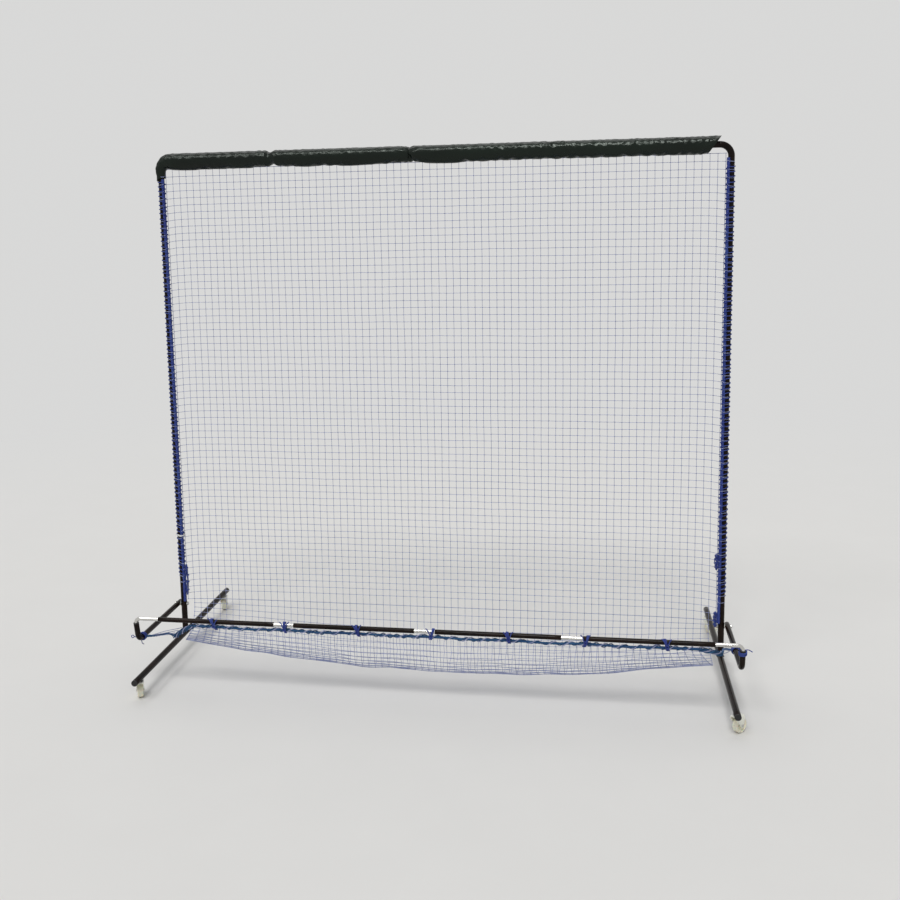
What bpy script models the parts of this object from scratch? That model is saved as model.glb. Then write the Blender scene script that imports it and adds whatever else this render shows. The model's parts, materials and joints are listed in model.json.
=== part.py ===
"""Rolling ball-catching net: an upright tube frame on casters, a laced net and a fold-up ball pocket.

Metres, +Z up. The front is -Y and X runs along the width. The origin is on the floor, midway
between the two uprights. Every tube is open and plugs into the next one by a swaged end, a spigot
or a bright joiner, with FIT as the clearance of each joint.
"""

import math

import bmesh
import bpy
from mathutils import Matrix, Vector

# Overall frame.
UPRIGHT_SPACING = 2.000  # between the axes of the two uprights
TOP_BAR_HEIGHT = 1.860  # floor to the axis of the top bar
LEG_LENGTH = 0.920  # each floor leg, front to back, without its end caps

# Tubes.
FRAME_TUBE_RADIUS = 0.0110
ARM_TUBE_RADIUS = 0.0095
BRIGHT_ROD_RADIUS = 0.00635  # joiners and elbows of the front rail
TUBE_WALL = 0.0012
CORNER_BEND = 0.038  # centre-line radius of the top corners
CORNER_COLLAR = 0.003  # full-size length past each end of the bend
PLUG_LENGTH = 0.060  # how far a swaged end, spigot or joiner enters its tube
FIT = 0.0003  # gap left between touching pieces
TUBE_SIDES = 12
BORE_OVERRUN = 0.004  # how far a cutter runs past what it cuts

# Pocket frame.
ARM_HEIGHT = 0.190  # floor to the fold pivots
ARM_REACH = 0.360  # pivot to the foot of the riser
ARM_BEND = 0.030
ARM_TAIL = 0.022  # tube left behind the pivot
RAIL_RISE = 0.085  # rail above the pivots
RISER_LEAN = 0.016  # how far the riser leans forward in that height
RISER_STOP = 0.020  # rail axis above the riser's open end
ELBOW_BEND = 0.018
ELBOW_REACH = 0.085  # arm axis to the end of the first rail tube
JOINER_SHOWN = 0.070  # bright length between two rail tubes
RAIL_TUBES = 4
RAIL_PLUG_LENGTH = 0.035

# Pivot hardware.
BOLT_RADIUS = 0.0040
HEX_RADIUS = 0.0072
HEAD_HEIGHT = 0.0055
NUT_HEIGHT = 0.0060
BOLT_END = 0.0015  # thread showing past the nut
WASHER_RADIUS = 0.0090
WASHER_THICKNESS = 0.0012

# End caps and bushes.
CAP_FACE = 0.0030
CAP_PLUG = 0.012
EDGE_ROUND = 0.0008

# Casters.
WHEEL_RADIUS = 0.0250
WHEEL_WIDTH = 0.0200
WHEEL_EDGE = 0.0030
HUB_RADIUS = 0.0085
WEB_RECESS = 0.0035
RIM_THICKNESS = 0.0055
AXLE_RADIUS = 0.0030
AXLE_HEAD_RADIUS = 0.0050
AXLE_HEAD = 0.0016
FORK_PLATE = 0.0020
FORK_SIDE_GAP = 0.0010  # wheel to fork plate
CROWN_CLEARANCE = 0.0079  # wheel to the underside of the crown
CROWN_THICKNESS = 0.0025
CROWN_RADIUS = 0.0130
FORK_TOE_RADIUS = 0.0075  # round end of the plate about the axle
STEM_RADIUS = 0.0040
FLANGE_RADIUS = 0.0115
FLANGE_THICKNESS = 0.0030
RIVET_RADIUS = 0.0065
RIVET_HEIGHT = 0.0022
CASTER_TRAIL = 0.018
CASTER_INSET = 0.042  # swivel axis in from the end of the leg
CASTER_TURN = {  # degrees from +Y towards +X, where each wheel trails
    "front_left": -25.0,
    "front_right": 45.0,
    "back_left": -11.0,
    "back_right": 135.0,
}
WHEEL_STEPS = 20

# Padded sleeve over the top bar.
PAD_RADIUS = 0.0290
PAD_CORNER_RADIUS = 0.0150
PAD_END_RADIUS = 0.0140
PAD_DROP = 0.060  # how far it runs down the left upright
PAD_TAPER = 0.060  # length over which the corner swells to the full pad
PAD_CREASES = (0.420, 0.925)  # from the left upright, where the filling has a joint
CREASE_DEPTH = 0.0045
CREASE_LENGTH = 0.030

# Net, laces and cords.
STRAND = 0.0030
PANEL_COLUMNS = 15
PANEL_ROWS = 12
POCKET_COLUMNS = 13
POCKET_ROWS = 5
PANEL_FOOT = 0.020  # pivots to the lowest strand of the upright panel
POCKET_BACK_INSET = 0.035  # upright axis to the pocket's back corner
POCKET_DEPTH = 0.175  # sag below the line from pivots to rail, mid-width
POCKET_END_DEPTH = 0.092
POCKET_FULLNESS = 0.65  # below 1 the trough is rounder than a parabola
POCKET_LEFT_GAP = 0.240  # left arm to where the border rope leaves the rail
POCKET_RIGHT_GAP = 0.158
ROPE_RADIUS = 0.0035
LACE_RADIUS = 0.0025
LACE_TURNS = 8
LACE_POINTS = 8
LACE_FOOT = 0.110  # pivots to the lowest turn
LACE_HEAD = 0.085  # highest turn below the top bar
KNOT_SCALE = 2.2  # knot against rope, in thickness
KNOT_LENGTH = 0.009
KNOT_FROM_BEND_LEFT = 0.034  # foot of the riser to the knot on the left arm
KNOT_FROM_BEND_RIGHT = 0.150
TIE_RADIUS = 0.0015
TIE_COUNT = 7
TIE_CELLS = 2  # pocket cells from one tie to the next
TIE_IN_CELL = 0.363  # where a tie stands between two strands
TIE_PITCH = 0.0050
TIE_POINTS = 10
TIE_TAIL = 0.028

# Values that follow.
HALF_SPACING = UPRIGHT_SPACING / 2
HALF_LEG = LEG_LENGTH / 2
FACET = math.cos(math.pi / TUBE_SIDES)
FORK_INNER = WHEEL_WIDTH + 2 * FORK_SIDE_GAP
FORK_OUTER = FORK_INNER + 2 * FORK_PLATE
CROWN_UNDER = 2 * WHEEL_RADIUS + CROWN_CLEARANCE
CROWN_TOP = CROWN_UNDER + CROWN_THICKNESS
FLANGE_BASE = CROWN_TOP + FIT
FLANGE_TOP = FLANGE_BASE + FLANGE_THICKNESS
LEG_HEIGHT = FLANGE_TOP + FIT + FRAME_TUBE_RADIUS
LEG_TOP = LEG_HEIGHT + FRAME_TUBE_RADIUS
CORNER_START = TOP_BAR_HEIGHT - CORNER_BEND - CORNER_COLLAR
BAR_HALF = HALF_SPACING - CORNER_BEND - CORNER_COLLAR
ARM_X = HALF_SPACING + FRAME_TUBE_RADIUS + WASHER_THICKNESS + 2 * FIT + ARM_TUBE_RADIUS
RAIL_Y = -(ARM_REACH + RISER_LEAN)
RAIL_Z = ARM_HEIGHT + RAIL_RISE
RISER_AXIS = Vector((0, -RISER_LEAN, RAIL_RISE)).normalized()
LACE_COIL = (FRAME_TUBE_RADIUS + FIT + LACE_RADIUS) / math.cos(math.pi / LACE_POINTS)
NET_HALF = HALF_SPACING - LACE_COIL - LACE_RADIUS - FIT - STRAND / 2
NET_TOP = TOP_BAR_HEIGHT - PAD_RADIUS - FIT - STRAND / 2
NET_FOOT = ARM_HEIGHT + PANEL_FOOT

FORWARD = Vector((0, -1, 0))
UP = Vector((0, 0, 1))


def bore_for(rod_radius):
    """Bore of a faceted tube that a rod enters with the gap FIT."""
    return (rod_radius + FIT) / FACET


def plug_for(bore_radius):
    """Rod that enters a faceted bore with the gap FIT."""
    return bore_radius * FACET - FIT


FRAME_BORE = FRAME_TUBE_RADIUS - TUBE_WALL
ARM_BORE = ARM_TUBE_RADIUS - TUBE_WALL
RAIL_BORE = bore_for(BRIGHT_ROD_RADIUS)
RAIL_TUBE_RADIUS = RAIL_BORE + TUBE_WALL
ROPE_Z = RAIL_Z - RAIL_TUBE_RADIUS - FIT - ROPE_RADIUS
POCKET_EDGE_Z = ROPE_Z - ROPE_RADIUS - FIT - STRAND / 2


# Scene, collections and materials.


def clear_scene():
    for obj in list(bpy.data.objects):
        bpy.data.objects.remove(obj)


def new_collection(name):
    found = bpy.data.collections.new(name)
    bpy.context.scene.collection.children.link(found)
    return found


def new_material(name, colour, roughness, metallic=0.0):
    made = bpy.data.materials.new(name)
    made.use_nodes = True
    shader = made.node_tree.nodes["Principled BSDF"]
    shader.inputs["Base Color"].default_value = (*colour, 1.0)
    shader.inputs["Roughness"].default_value = roughness
    shader.inputs["Metallic"].default_value = metallic
    return made


# Shapes.


def place(obj, material, parent=None):
    """Link a part with its material, and hang it on its joint's empty without moving it."""
    PARTS.objects.link(obj)
    obj.data.materials.clear()
    obj.data.materials.append(material)
    if parent is not None:
        obj.parent = parent
        obj.matrix_parent_inverse = parent_matrix(parent).inverted()
    return obj


def parent_matrix(empty):
    """World matrix of an empty, before the scene is evaluated."""
    own = Matrix.LocRotScale(empty.location, empty.rotation_euler, None)
    return parent_matrix(empty.parent) @ own if empty.parent else own


def joint_empty(name, location, turn=0.0, parent=None):
    made = bpy.data.objects.new(name, None)
    made.location = location
    made.rotation_euler = (0, 0, turn)
    made.parent = parent
    made.empty_display_size = 0.03
    PARTS.objects.link(made)
    return made


def swept(name, points, radius, sides=TUBE_SIDES, scales=None):
    """A round tube along points, as a curve object with filled caps."""
    curve = bpy.data.curves.new(name, "CURVE")
    curve.dimensions = "3D"
    curve.bevel_depth = radius
    curve.bevel_resolution = (sides - 4) // 2
    curve.use_fill_caps = True
    spline = curve.splines.new("POLY")
    spline.points.add(len(points) - 1)
    for index, point in enumerate(points):
        spline.points[index].co = (*point, 1.0)
        spline.points[index].radius = scales[index] if scales else 1.0
    return bpy.data.objects.new(name, curve)


def as_mesh(obj):
    """The evaluated shape of an unlinked object as a new welded mesh object."""
    bpy.context.scene.collection.objects.link(obj)
    bpy.context.view_layer.update()
    graph = bpy.context.evaluated_depsgraph_get()
    mesh = bpy.data.meshes.new_from_object(obj.evaluated_get(graph))
    name = obj.name
    matrix = obj.matrix_world.copy()
    bpy.data.objects.remove(obj)
    welder = bmesh.new()
    welder.from_mesh(mesh)
    bmesh.ops.remove_doubles(welder, verts=welder.verts, dist=1e-6)
    bmesh.ops.recalc_face_normals(welder, faces=welder.faces)
    welder.to_mesh(mesh)
    welder.free()
    made = bpy.data.objects.new(name, mesh)
    made.matrix_world = matrix
    return smooth(made)


def smooth(obj, degrees=40):
    obj.data.shade_smooth()
    obj.data.set_sharp_from_angle(angle=math.radians(degrees))
    return obj


def combine(obj, other, operation):
    """Boolean of a part with a helper shape, which is kept out of the render."""
    if other.type != "MESH":
        other = as_mesh(other)
    CUTTERS.objects.link(other)
    other.hide_render = True
    other.display_type = "WIRE"
    modifier = obj.modifiers.new(operation.lower(), "BOOLEAN")
    modifier.operation = operation
    modifier.solver = "EXACT"
    modifier.object = other
    return obj


def cylinder(name, centre, axis, radius, length, sides=TUBE_SIDES):
    """A closed cylinder about an axis, made as a mesh."""
    mesh = bpy.data.meshes.new(name)
    maker = bmesh.new()
    bmesh.ops.create_cone(
        maker, cap_ends=True, segments=sides, radius1=radius, radius2=radius, depth=length
    )
    turn = UP.rotation_difference(Vector(axis)).to_matrix().to_4x4()
    half_facet = Matrix.Rotation(math.pi / sides, 4, "Z")
    maker.transform(Matrix.Translation(centre) @ turn @ half_facet)
    maker.to_mesh(mesh)
    maker.free()
    return bpy.data.objects.new(name, mesh)


def turned(name, profile, steps=TUBE_SIDES, ring=False):
    """A turned piece about Z from (radius, height) pairs that run down the outer side."""
    mesh = bpy.data.meshes.new(name)
    edges = [(i, i + 1) for i in range(len(profile) - 1)]
    if ring:
        edges.append((len(profile) - 1, 0))
    mesh.from_pydata([(radius, 0, height) for radius, height in profile], edges, [])
    obj = bpy.data.objects.new(name, mesh)
    screw = obj.modifiers.new("turn", "SCREW")
    screw.steps = steps
    screw.render_steps = steps
    screw.use_merge_vertices = True
    screw.merge_threshold = 1e-6
    screw.use_smooth_shade = True
    return obj


def extend_ends(points, amount):
    """The same path with both ends moved outwards along their own runs."""
    moved = [Vector(point) for point in points]
    moved[0] += (moved[0] - moved[1]).normalized() * amount
    moved[-1] += (moved[-1] - moved[-2]).normalized() * amount
    return moved


def arc(centre, start, end, radius, steps):
    """Points of a quarter-like arc from direction start to direction end about centre."""
    start = Vector(start).normalized()
    end = Vector(end).normalized()
    whole = start.angle(end)
    side = (end - start * start.dot(end)).normalized()
    return [
        Vector(centre) + radius * (start * math.cos(whole * i / steps) + side * math.sin(whole * i / steps))
        for i in range(steps + 1)
    ]


def smooth_path(knots, step):
    """Catmull-Rom points about one step apart through the given knots."""
    knots = [Vector(knot) for knot in knots]
    padded = [2 * knots[0] - knots[1], *knots, 2 * knots[-1] - knots[-2]]
    points = []
    for a, b, c, d in zip(padded, padded[1:], padded[2:], padded[3:]):
        pieces = max(1, round((c - b).length / step))
        for i in range(pieces):
            t = i / pieces
            points.append(
                0.5 * (2 * b + (c - a) * t + (2 * a - 5 * b + 4 * c - d) * t**2 + (3 * b - 3 * c + d - a) * t**3)
            )
    return [*points, knots[-1]]


def least_self_gap(points, diameter, apart):
    """Least clear distance between turns of a wound cord, taken over points well apart along it."""
    return min(
        (points[i] - points[j]).length - diameter
        for i in range(len(points))
        for j in range(i + apart, len(points))
    )


# Upright frame.


def make_leg(side, name):
    x = side * HALF_SPACING
    ends = [Vector((x, -HALF_LEG, LEG_HEIGHT)), Vector((x, HALF_LEG, LEG_HEIGHT))]
    leg = as_mesh(swept(name, ends, FRAME_TUBE_RADIUS))
    spigot_top = LEG_TOP + PLUG_LENGTH
    foot = Vector((x, 0, LEG_HEIGHT))
    spigot = swept(f"{name}_spigot", [foot, Vector((x, 0, spigot_top))], plug_for(FRAME_BORE))
    combine(leg, spigot, "UNION")
    combine(leg, swept(f"{name}_bore", extend_ends(ends, BORE_OVERRUN), FRAME_BORE), "DIFFERENCE")
    for end in (-1, 1):
        stem_y = end * (HALF_LEG - CASTER_INSET)
        hole_centre = (x, stem_y, LEG_HEIGHT - FRAME_TUBE_RADIUS)
        hole = cylinder(f"{name}_hole", hole_centre, UP, bore_for(STEM_RADIUS), FRAME_TUBE_RADIUS)
        combine(leg, hole, "DIFFERENCE")
    return place(leg, BLACK_PAINT)


def make_leg_cap(side, end, name):
    plug = plug_for(FRAME_BORE)
    face = FRAME_TUBE_RADIUS
    profile = [
        (0, CAP_FACE),
        (face - EDGE_ROUND, CAP_FACE),
        (face, CAP_FACE - EDGE_ROUND),
        (face, 0),
        (plug, 0),
        (plug, -CAP_PLUG + EDGE_ROUND),
        (plug - EDGE_ROUND, -CAP_PLUG),
        (0, -CAP_PLUG),
    ]
    cap = turned(name, profile)
    cap.location = (side * HALF_SPACING, end * (HALF_LEG + FIT), LEG_HEIGHT)
    cap.rotation_euler = (-end * math.pi / 2, 0, 0)
    return place(cap, BLACK_PLASTIC)


def make_upright(side, name):
    x = side * HALF_SPACING
    margin = 4 * BOLT_RADIUS
    heights = (LEG_TOP + FIT, ARM_HEIGHT - margin, ARM_HEIGHT + margin, CORNER_START - FIT)
    path = [Vector((x, 0, height)) for height in heights]
    upright = as_mesh(swept(name, path, FRAME_TUBE_RADIUS))
    combine(upright, swept(f"{name}_bore", extend_ends(path, BORE_OVERRUN), FRAME_BORE), "DIFFERENCE")
    pivot = (x, 0, ARM_HEIGHT)
    hole = cylinder(f"{name}_hole", pivot, (1, 0, 0), bore_for(BOLT_RADIUS), 4 * FRAME_TUBE_RADIUS)
    combine(upright, hole, "DIFFERENCE")
    return place(upright, BLACK_PAINT)


def corner_path(side):
    """Centre line of a top corner: end in the upright, shoulders with the bend, end in the top bar."""
    x = side * HALF_SPACING
    centre = Vector((side * (HALF_SPACING - CORNER_BEND), 0, TOP_BAR_HEIGHT - CORNER_BEND))
    low = Vector((x, 0, CORNER_START))
    high = Vector((side * BAR_HALF, 0, TOP_BAR_HEIGHT))
    bend = [low, *arc(centre, (side, 0, 0), UP, CORNER_BEND, 8), high]
    foot = low - UP * PLUG_LENGTH
    head = high - Vector((side * PLUG_LENGTH, 0, 0))
    return foot, bend, head


def make_corner(side, name):
    """A bent tube whose two ends are swaged down to enter the upright and the top bar."""
    foot, bend, head = corner_path(side)
    shoulder = 0.0001
    lower = bend[0] - UP * shoulder
    inner = bend[-1] - Vector((side * shoulder, 0, 0))
    swaged = plug_for(FRAME_BORE) / FRAME_TUBE_RADIUS
    points = [foot, lower, *bend, inner, head]
    scales = [swaged, swaged, *[1.0] * len(bend), swaged, swaged]
    corner = as_mesh(swept(name, points, FRAME_TUBE_RADIUS, scales=scales))
    bore = extend_ends([foot, *bend, head], BORE_OVERRUN)
    combine(corner, swept(f"{name}_bore", bore, plug_for(FRAME_BORE) - TUBE_WALL), "DIFFERENCE")
    return place(corner, BLACK_PAINT)


def make_top_bar():
    ends = [Vector((-BAR_HALF + FIT, 0, TOP_BAR_HEIGHT)), Vector((BAR_HALF - FIT, 0, TOP_BAR_HEIGHT))]
    bar = as_mesh(swept("top_bar", ends, FRAME_TUBE_RADIUS))
    combine(bar, swept("top_bar_bore", extend_ends(ends, BORE_OVERRUN), FRAME_BORE), "DIFFERENCE")
    return place(bar, BLACK_PAINT)


def pad_radius_at(x):
    """Radius of the padded sleeve at x: swelling from the corner, drawn in at each crease."""
    from_corner = x + BAR_HALF
    swell = min(1.0, max(0.0, from_corner / PAD_TAPER))
    swell = swell * swell * (3 - 2 * swell)
    radius = PAD_CORNER_RADIUS + (PAD_RADIUS - PAD_CORNER_RADIUS) * swell
    for crease in PAD_CREASES:
        away = (x + HALF_SPACING - crease) / CREASE_LENGTH
        radius -= CREASE_DEPTH * math.exp(-away * away * 4)
    return radius


def make_top_pad():
    """Padded sleeve: it covers the left corner and ends at the start of the right one."""
    _, bend, _ = corner_path(-1)
    foot = Vector((-HALF_SPACING, 0, TOP_BAR_HEIGHT - PAD_DROP))
    right_end = BAR_HALF - FIT
    marks = [-BAR_HALF + PAD_TAPER * i / 4 for i in range(1, 5)]
    for crease in PAD_CREASES:
        marks += [crease - HALF_SPACING + CREASE_LENGTH * i / 2 for i in range(-2, 3)]
    marks += [right_end - 0.006, right_end]
    straight = [Vector((x, 0, TOP_BAR_HEIGHT)) for x in sorted(marks)]
    path = [foot, *bend, *straight]
    radii = [PAD_END_RADIUS]
    radii += [PAD_CORNER_RADIUS] * len(bend)
    radii += [pad_radius_at(point.x) for point in straight]
    radii[-1] -= 0.005
    outer = swept("top_pad", path, PAD_RADIUS, scales=[radius / PAD_RADIUS for radius in radii])
    pad = as_mesh(outer)
    bore = extend_ends([foot, *bend, straight[-1]], BORE_OVERRUN)
    combine(pad, swept("top_pad_bore", bore, bore_for(FRAME_TUBE_RADIUS)), "DIFFERENCE")
    return place(pad, BLACK_VINYL)


# Pocket frame.


def riser_top():
    """Where the axis of a riser meets its open end, at X = 0."""
    return Vector((0, RAIL_Y, RAIL_Z)) - RISER_AXIS * RISER_STOP


def make_arm(side, name):
    """Arm and riser in one bent tube, closed behind the pivot and drilled across for its bolt."""
    x = Vector((side * ARM_X, 0, 0))
    foot = Vector((0, -ARM_REACH, ARM_HEIGHT))
    turn = FORWARD.angle(RISER_AXIS)
    reach = ARM_BEND * math.tan(turn / 2)
    centre = foot - FORWARD * reach + UP * ARM_BEND
    end = (foot + RISER_AXIS * reach - centre).normalized()
    bend = arc(centre, -UP, end, ARM_BEND, 6)
    tail = Vector((0, ARM_TAIL, ARM_HEIGHT))
    path = [x + point for point in (tail, *bend, riser_top())]
    arm = as_mesh(swept(name, path, ARM_TUBE_RADIUS))
    bore = extend_ends(path, BORE_OVERRUN)
    bore[0] = path[0] + FORWARD * CAP_FACE
    combine(arm, swept(f"{name}_bore", bore, ARM_BORE), "DIFFERENCE")
    pivot = (side * ARM_X, 0, ARM_HEIGHT)
    hole = cylinder(f"{name}_hole", pivot, (1, 0, 0), bore_for(BOLT_RADIUS), 4 * ARM_TUBE_RADIUS)
    combine(arm, hole, "DIFFERENCE")
    return place(arm, BLACK_PAINT, POCKET_AXIS)


def make_riser_bush(side, name):
    plug = plug_for(ARM_BORE)
    hole = bore_for(BRIGHT_ROD_RADIUS)
    face = ARM_TUBE_RADIUS
    profile = [
        (face - EDGE_ROUND, CAP_FACE),
        (face, CAP_FACE - EDGE_ROUND),
        (face, 0),
        (plug, 0),
        (plug, -CAP_PLUG),
        (hole, -CAP_PLUG),
        (hole, CAP_FACE),
    ]
    bush = turned(name, profile, ring=True)
    bush.location = riser_top() + RISER_AXIS * FIT + Vector((side * ARM_X, 0, 0))
    bush.rotation_euler = UP.rotation_difference(RISER_AXIS).to_euler()
    return place(bush, BLACK_PLASTIC, POCKET_AXIS)


def make_rail_elbow(side, name):
    """Bright bent rod from inside the riser to inside the first rail tube."""
    inward = Vector((-side, 0, 0))
    corner = Vector((side * ARM_X, RAIL_Y, RAIL_Z))
    centre = corner + inward * ELBOW_BEND - RISER_AXIS * ELBOW_BEND
    bend = arc(centre, -inward, RISER_AXIS, ELBOW_BEND, 6)
    foot = corner - RISER_AXIS * (RISER_STOP + RAIL_PLUG_LENGTH)
    head = corner + inward * (ELBOW_REACH + RAIL_PLUG_LENGTH)
    return place(swept(name, [foot, *bend, head], BRIGHT_ROD_RADIUS), BRIGHT_STEEL, POCKET_AXIS)


def rail_layout():
    """(start, end) in X of each rail tube, from left to right."""
    half = ARM_X - ELBOW_REACH
    length = (2 * half - (RAIL_TUBES - 1) * JOINER_SHOWN) / RAIL_TUBES
    starts = [-half + i * (length + JOINER_SHOWN) for i in range(RAIL_TUBES)]
    return [(start, start + length) for start in starts]


def make_rail():
    layout = rail_layout()
    for number, (start, end) in enumerate(layout, 1):
        name = f"rail_tube_{number}"
        ends = [Vector((start, RAIL_Y, RAIL_Z)), Vector((end, RAIL_Y, RAIL_Z))]
        tube = as_mesh(swept(name, ends, RAIL_TUBE_RADIUS))
        combine(tube, swept(f"{name}_bore", extend_ends(ends, BORE_OVERRUN), RAIL_BORE), "DIFFERENCE")
        place(tube, BLACK_PAINT, POCKET_AXIS)
    for number, (left, right) in enumerate(zip(layout, layout[1:]), 1):
        start = Vector((left[1] - RAIL_PLUG_LENGTH, RAIL_Y, RAIL_Z))
        end = Vector((right[0] + RAIL_PLUG_LENGTH, RAIL_Y, RAIL_Z))
        place(swept(f"rail_joiner_{number}", [start, end], BRIGHT_ROD_RADIUS), BRIGHT_STEEL, POCKET_AXIS)


# Pivot hardware, one set on each side. X runs outwards from the upright.


def make_pivot(side, name):
    washer_at = HALF_SPACING + FRAME_TUBE_RADIUS + FIT
    nut_outer = HALF_SPACING - FRAME_TUBE_RADIUS - FIT
    head_at = ARM_X + ARM_TUBE_RADIUS + FIT
    tip_at = nut_outer - NUT_HEIGHT - BOLT_END
    turn = (0, side * math.pi / 2, 0)

    shank = [Vector((0, 0, tip_at)), Vector((0, 0, head_at + HEAD_HEIGHT / 2))]
    bolt = as_mesh(swept(f"pivot_bolt_{name}", shank, BOLT_RADIUS))
    head = cylinder(f"bolt_head_{name}", (0, 0, head_at + HEAD_HEIGHT / 2), UP, HEX_RADIUS, HEAD_HEIGHT, 6)
    combine(bolt, head, "UNION")

    hole = bore_for(BOLT_RADIUS)
    nut = cylinder(f"pivot_nut_{name}", (0, 0, nut_outer - NUT_HEIGHT / 2), UP, HEX_RADIUS, NUT_HEIGHT, 6)
    nut_hole = cylinder(f"nut_hole_{name}", (0, 0, nut_outer), UP, hole, 4 * NUT_HEIGHT)
    combine(nut, nut_hole, "DIFFERENCE")

    washer_profile = [
        (WASHER_RADIUS, washer_at + WASHER_THICKNESS),
        (WASHER_RADIUS, washer_at),
        (hole, washer_at),
        (hole, washer_at + WASHER_THICKNESS),
    ]
    washer = turned(f"pivot_washer_{name}", washer_profile, ring=True)

    for piece, finish in ((bolt, ZINC), (nut, ZINC), (washer, WHITE_NYLON)):
        for shape in (piece, *[modifier.object for modifier in piece.modifiers if modifier.type == "BOOLEAN"]):
            shape.rotation_euler = turn
            shape.location = (0, 0, ARM_HEIGHT)
        place(piece, finish)


# Casters. Each shape is made once, about its own swivel axis, with the wheel trailing along +Y.


def fork_mesh():
    """Pressed fork: an inverted channel trimmed to the side outline, with the stem hole in its crown."""
    toe = CASTER_TRAIL
    front = -CROWN_RADIUS
    back = toe + FORK_TOE_RADIUS
    low = arc((0, toe, WHEEL_RADIUS), (0, -1, -0.35), (0, 1, -0.1), FORK_TOE_RADIUS, 6)
    outline = [
        Vector((0, front, CROWN_TOP + BORE_OVERRUN)),
        Vector((0, front, CROWN_UNDER - CROWN_CLEARANCE)),
        *low,
        Vector((0, back + 0.002, CROWN_UNDER - CROWN_CLEARANCE)),
        Vector((0, back - 0.002, CROWN_TOP + BORE_OVERRUN)),
    ]
    channel = prism("fork", channel_section(), 6 * CASTER_TRAIL, along_y=True)
    combine(channel, prism("fork_side", outline, FORK_OUTER * 2), "INTERSECT")
    stem_eye = cylinder("fork_eye", (0, 0, CROWN_TOP), UP, bore_for(STEM_RADIUS), 4 * CROWN_THICKNESS)
    combine(channel, stem_eye, "DIFFERENCE")
    axle_eye = cylinder("fork_axle_eye", (0, toe, WHEEL_RADIUS), (1, 0, 0), bore_for(AXLE_RADIUS), 2 * FORK_OUTER)
    combine(channel, axle_eye, "DIFFERENCE")
    return as_mesh(channel).data


def channel_section():
    """Inverted channel in the X-Z plane, its two outer corners rounded as a press leaves them."""
    half = FORK_OUTER / 2
    low = CROWN_UNDER - CROWN_CLEARANCE - 2 * WHEEL_RADIUS
    bend = CROWN_THICKNESS
    section = [Vector((half, 0, low))]
    section += arc((half - bend, 0, CROWN_TOP - bend), (1, 0, 0), UP, bend, 3)
    section += arc((bend - half, 0, CROWN_TOP - bend), UP, (-1, 0, 0), bend, 3)
    inside = [(-half, low), (-FORK_INNER / 2, low), (-FORK_INNER / 2, CROWN_UNDER)]
    inside += [(FORK_INNER / 2, CROWN_UNDER), (FORK_INNER / 2, low)]
    return [*section, *[Vector((x, 0, z)) for x, z in inside]]


def prism(name, outline, width, along_y=False):
    """A flat outline, in the Y-Z plane or else in the X-Z plane, extruded by width about its middle."""
    run = Vector((0, width, 0)) if along_y else Vector((width, 0, 0))
    mesh = bpy.data.meshes.new(name)
    maker = bmesh.new()
    face = maker.faces.new([maker.verts.new(point - run / 2) for point in outline])
    grown = bmesh.ops.extrude_face_region(maker, geom=[face])
    moved = [item for item in grown["geom"] if isinstance(item, bmesh.types.BMVert)]
    bmesh.ops.translate(maker, verts=moved, vec=run)
    bmesh.ops.recalc_face_normals(maker, faces=maker.faces)
    maker.to_mesh(mesh)
    maker.free()
    return bpy.data.objects.new(name, mesh)


def wheel_profile():
    """Half of the wheel's section: round-edged tread, recessed web and hub, bored for its axle."""
    half = WHEEL_WIDTH / 2
    bore = bore_for(AXLE_RADIUS)
    rim = WHEEL_RADIUS - RIM_THICKNESS
    outer = [
        (rim, half),
        (WHEEL_RADIUS - WHEEL_EDGE, half),
        (WHEEL_RADIUS, half - WHEEL_EDGE),
        (WHEEL_RADIUS, WHEEL_EDGE - half),
        (WHEEL_RADIUS - WHEEL_EDGE, -half),
        (rim, -half),
        (rim - 0.001, WEB_RECESS - half),
        (HUB_RADIUS, WEB_RECESS - half),
        (HUB_RADIUS - 0.001, -half),
        (bore, -half),
    ]
    hub = [(bore, half), (HUB_RADIUS - 0.001, half), (HUB_RADIUS, half - WEB_RECESS)]
    return [*outer, *hub, (rim - 0.001, half - WEB_RECESS)]


def wheel_mesh():
    """The wheel about X through its own centre, turned so that a tread facet lies flat on the floor."""
    wheel = turned("wheel", wheel_profile(), WHEEL_STEPS, ring=True)
    half_facet = math.pi / WHEEL_STEPS
    wheel.matrix_world = Matrix.Rotation(math.pi / 2, 4, "Y") @ Matrix.Rotation(half_facet, 4, "Z")
    made = as_mesh(wheel)
    grown = Matrix.Diagonal((1, 1 / math.cos(half_facet), 1 / math.cos(half_facet), 1))
    made.data.transform(grown @ made.matrix_world)
    return made.data


def stem_mesh():
    """Riveted swivel stem: rivet head under the crown, race on top of it, pin up into the leg."""
    pin_top = LEG_HEIGHT + STEM_RADIUS
    profile = [
        (0, pin_top),
        (STEM_RADIUS - EDGE_ROUND, pin_top),
        (STEM_RADIUS, pin_top - EDGE_ROUND),
        (STEM_RADIUS, FLANGE_TOP),
        (FLANGE_RADIUS - EDGE_ROUND, FLANGE_TOP),
        (FLANGE_RADIUS, FLANGE_TOP - EDGE_ROUND),
        (FLANGE_RADIUS, FLANGE_BASE),
        (STEM_RADIUS, FLANGE_BASE),
        (STEM_RADIUS, CROWN_UNDER - FIT),
        (RIVET_RADIUS, CROWN_UNDER - FIT),
        (RIVET_RADIUS - EDGE_ROUND, CROWN_UNDER - FIT - RIVET_HEIGHT),
        (0, CROWN_UNDER - FIT - RIVET_HEIGHT),
    ]
    return as_mesh(turned("caster_stem", profile)).data


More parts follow.
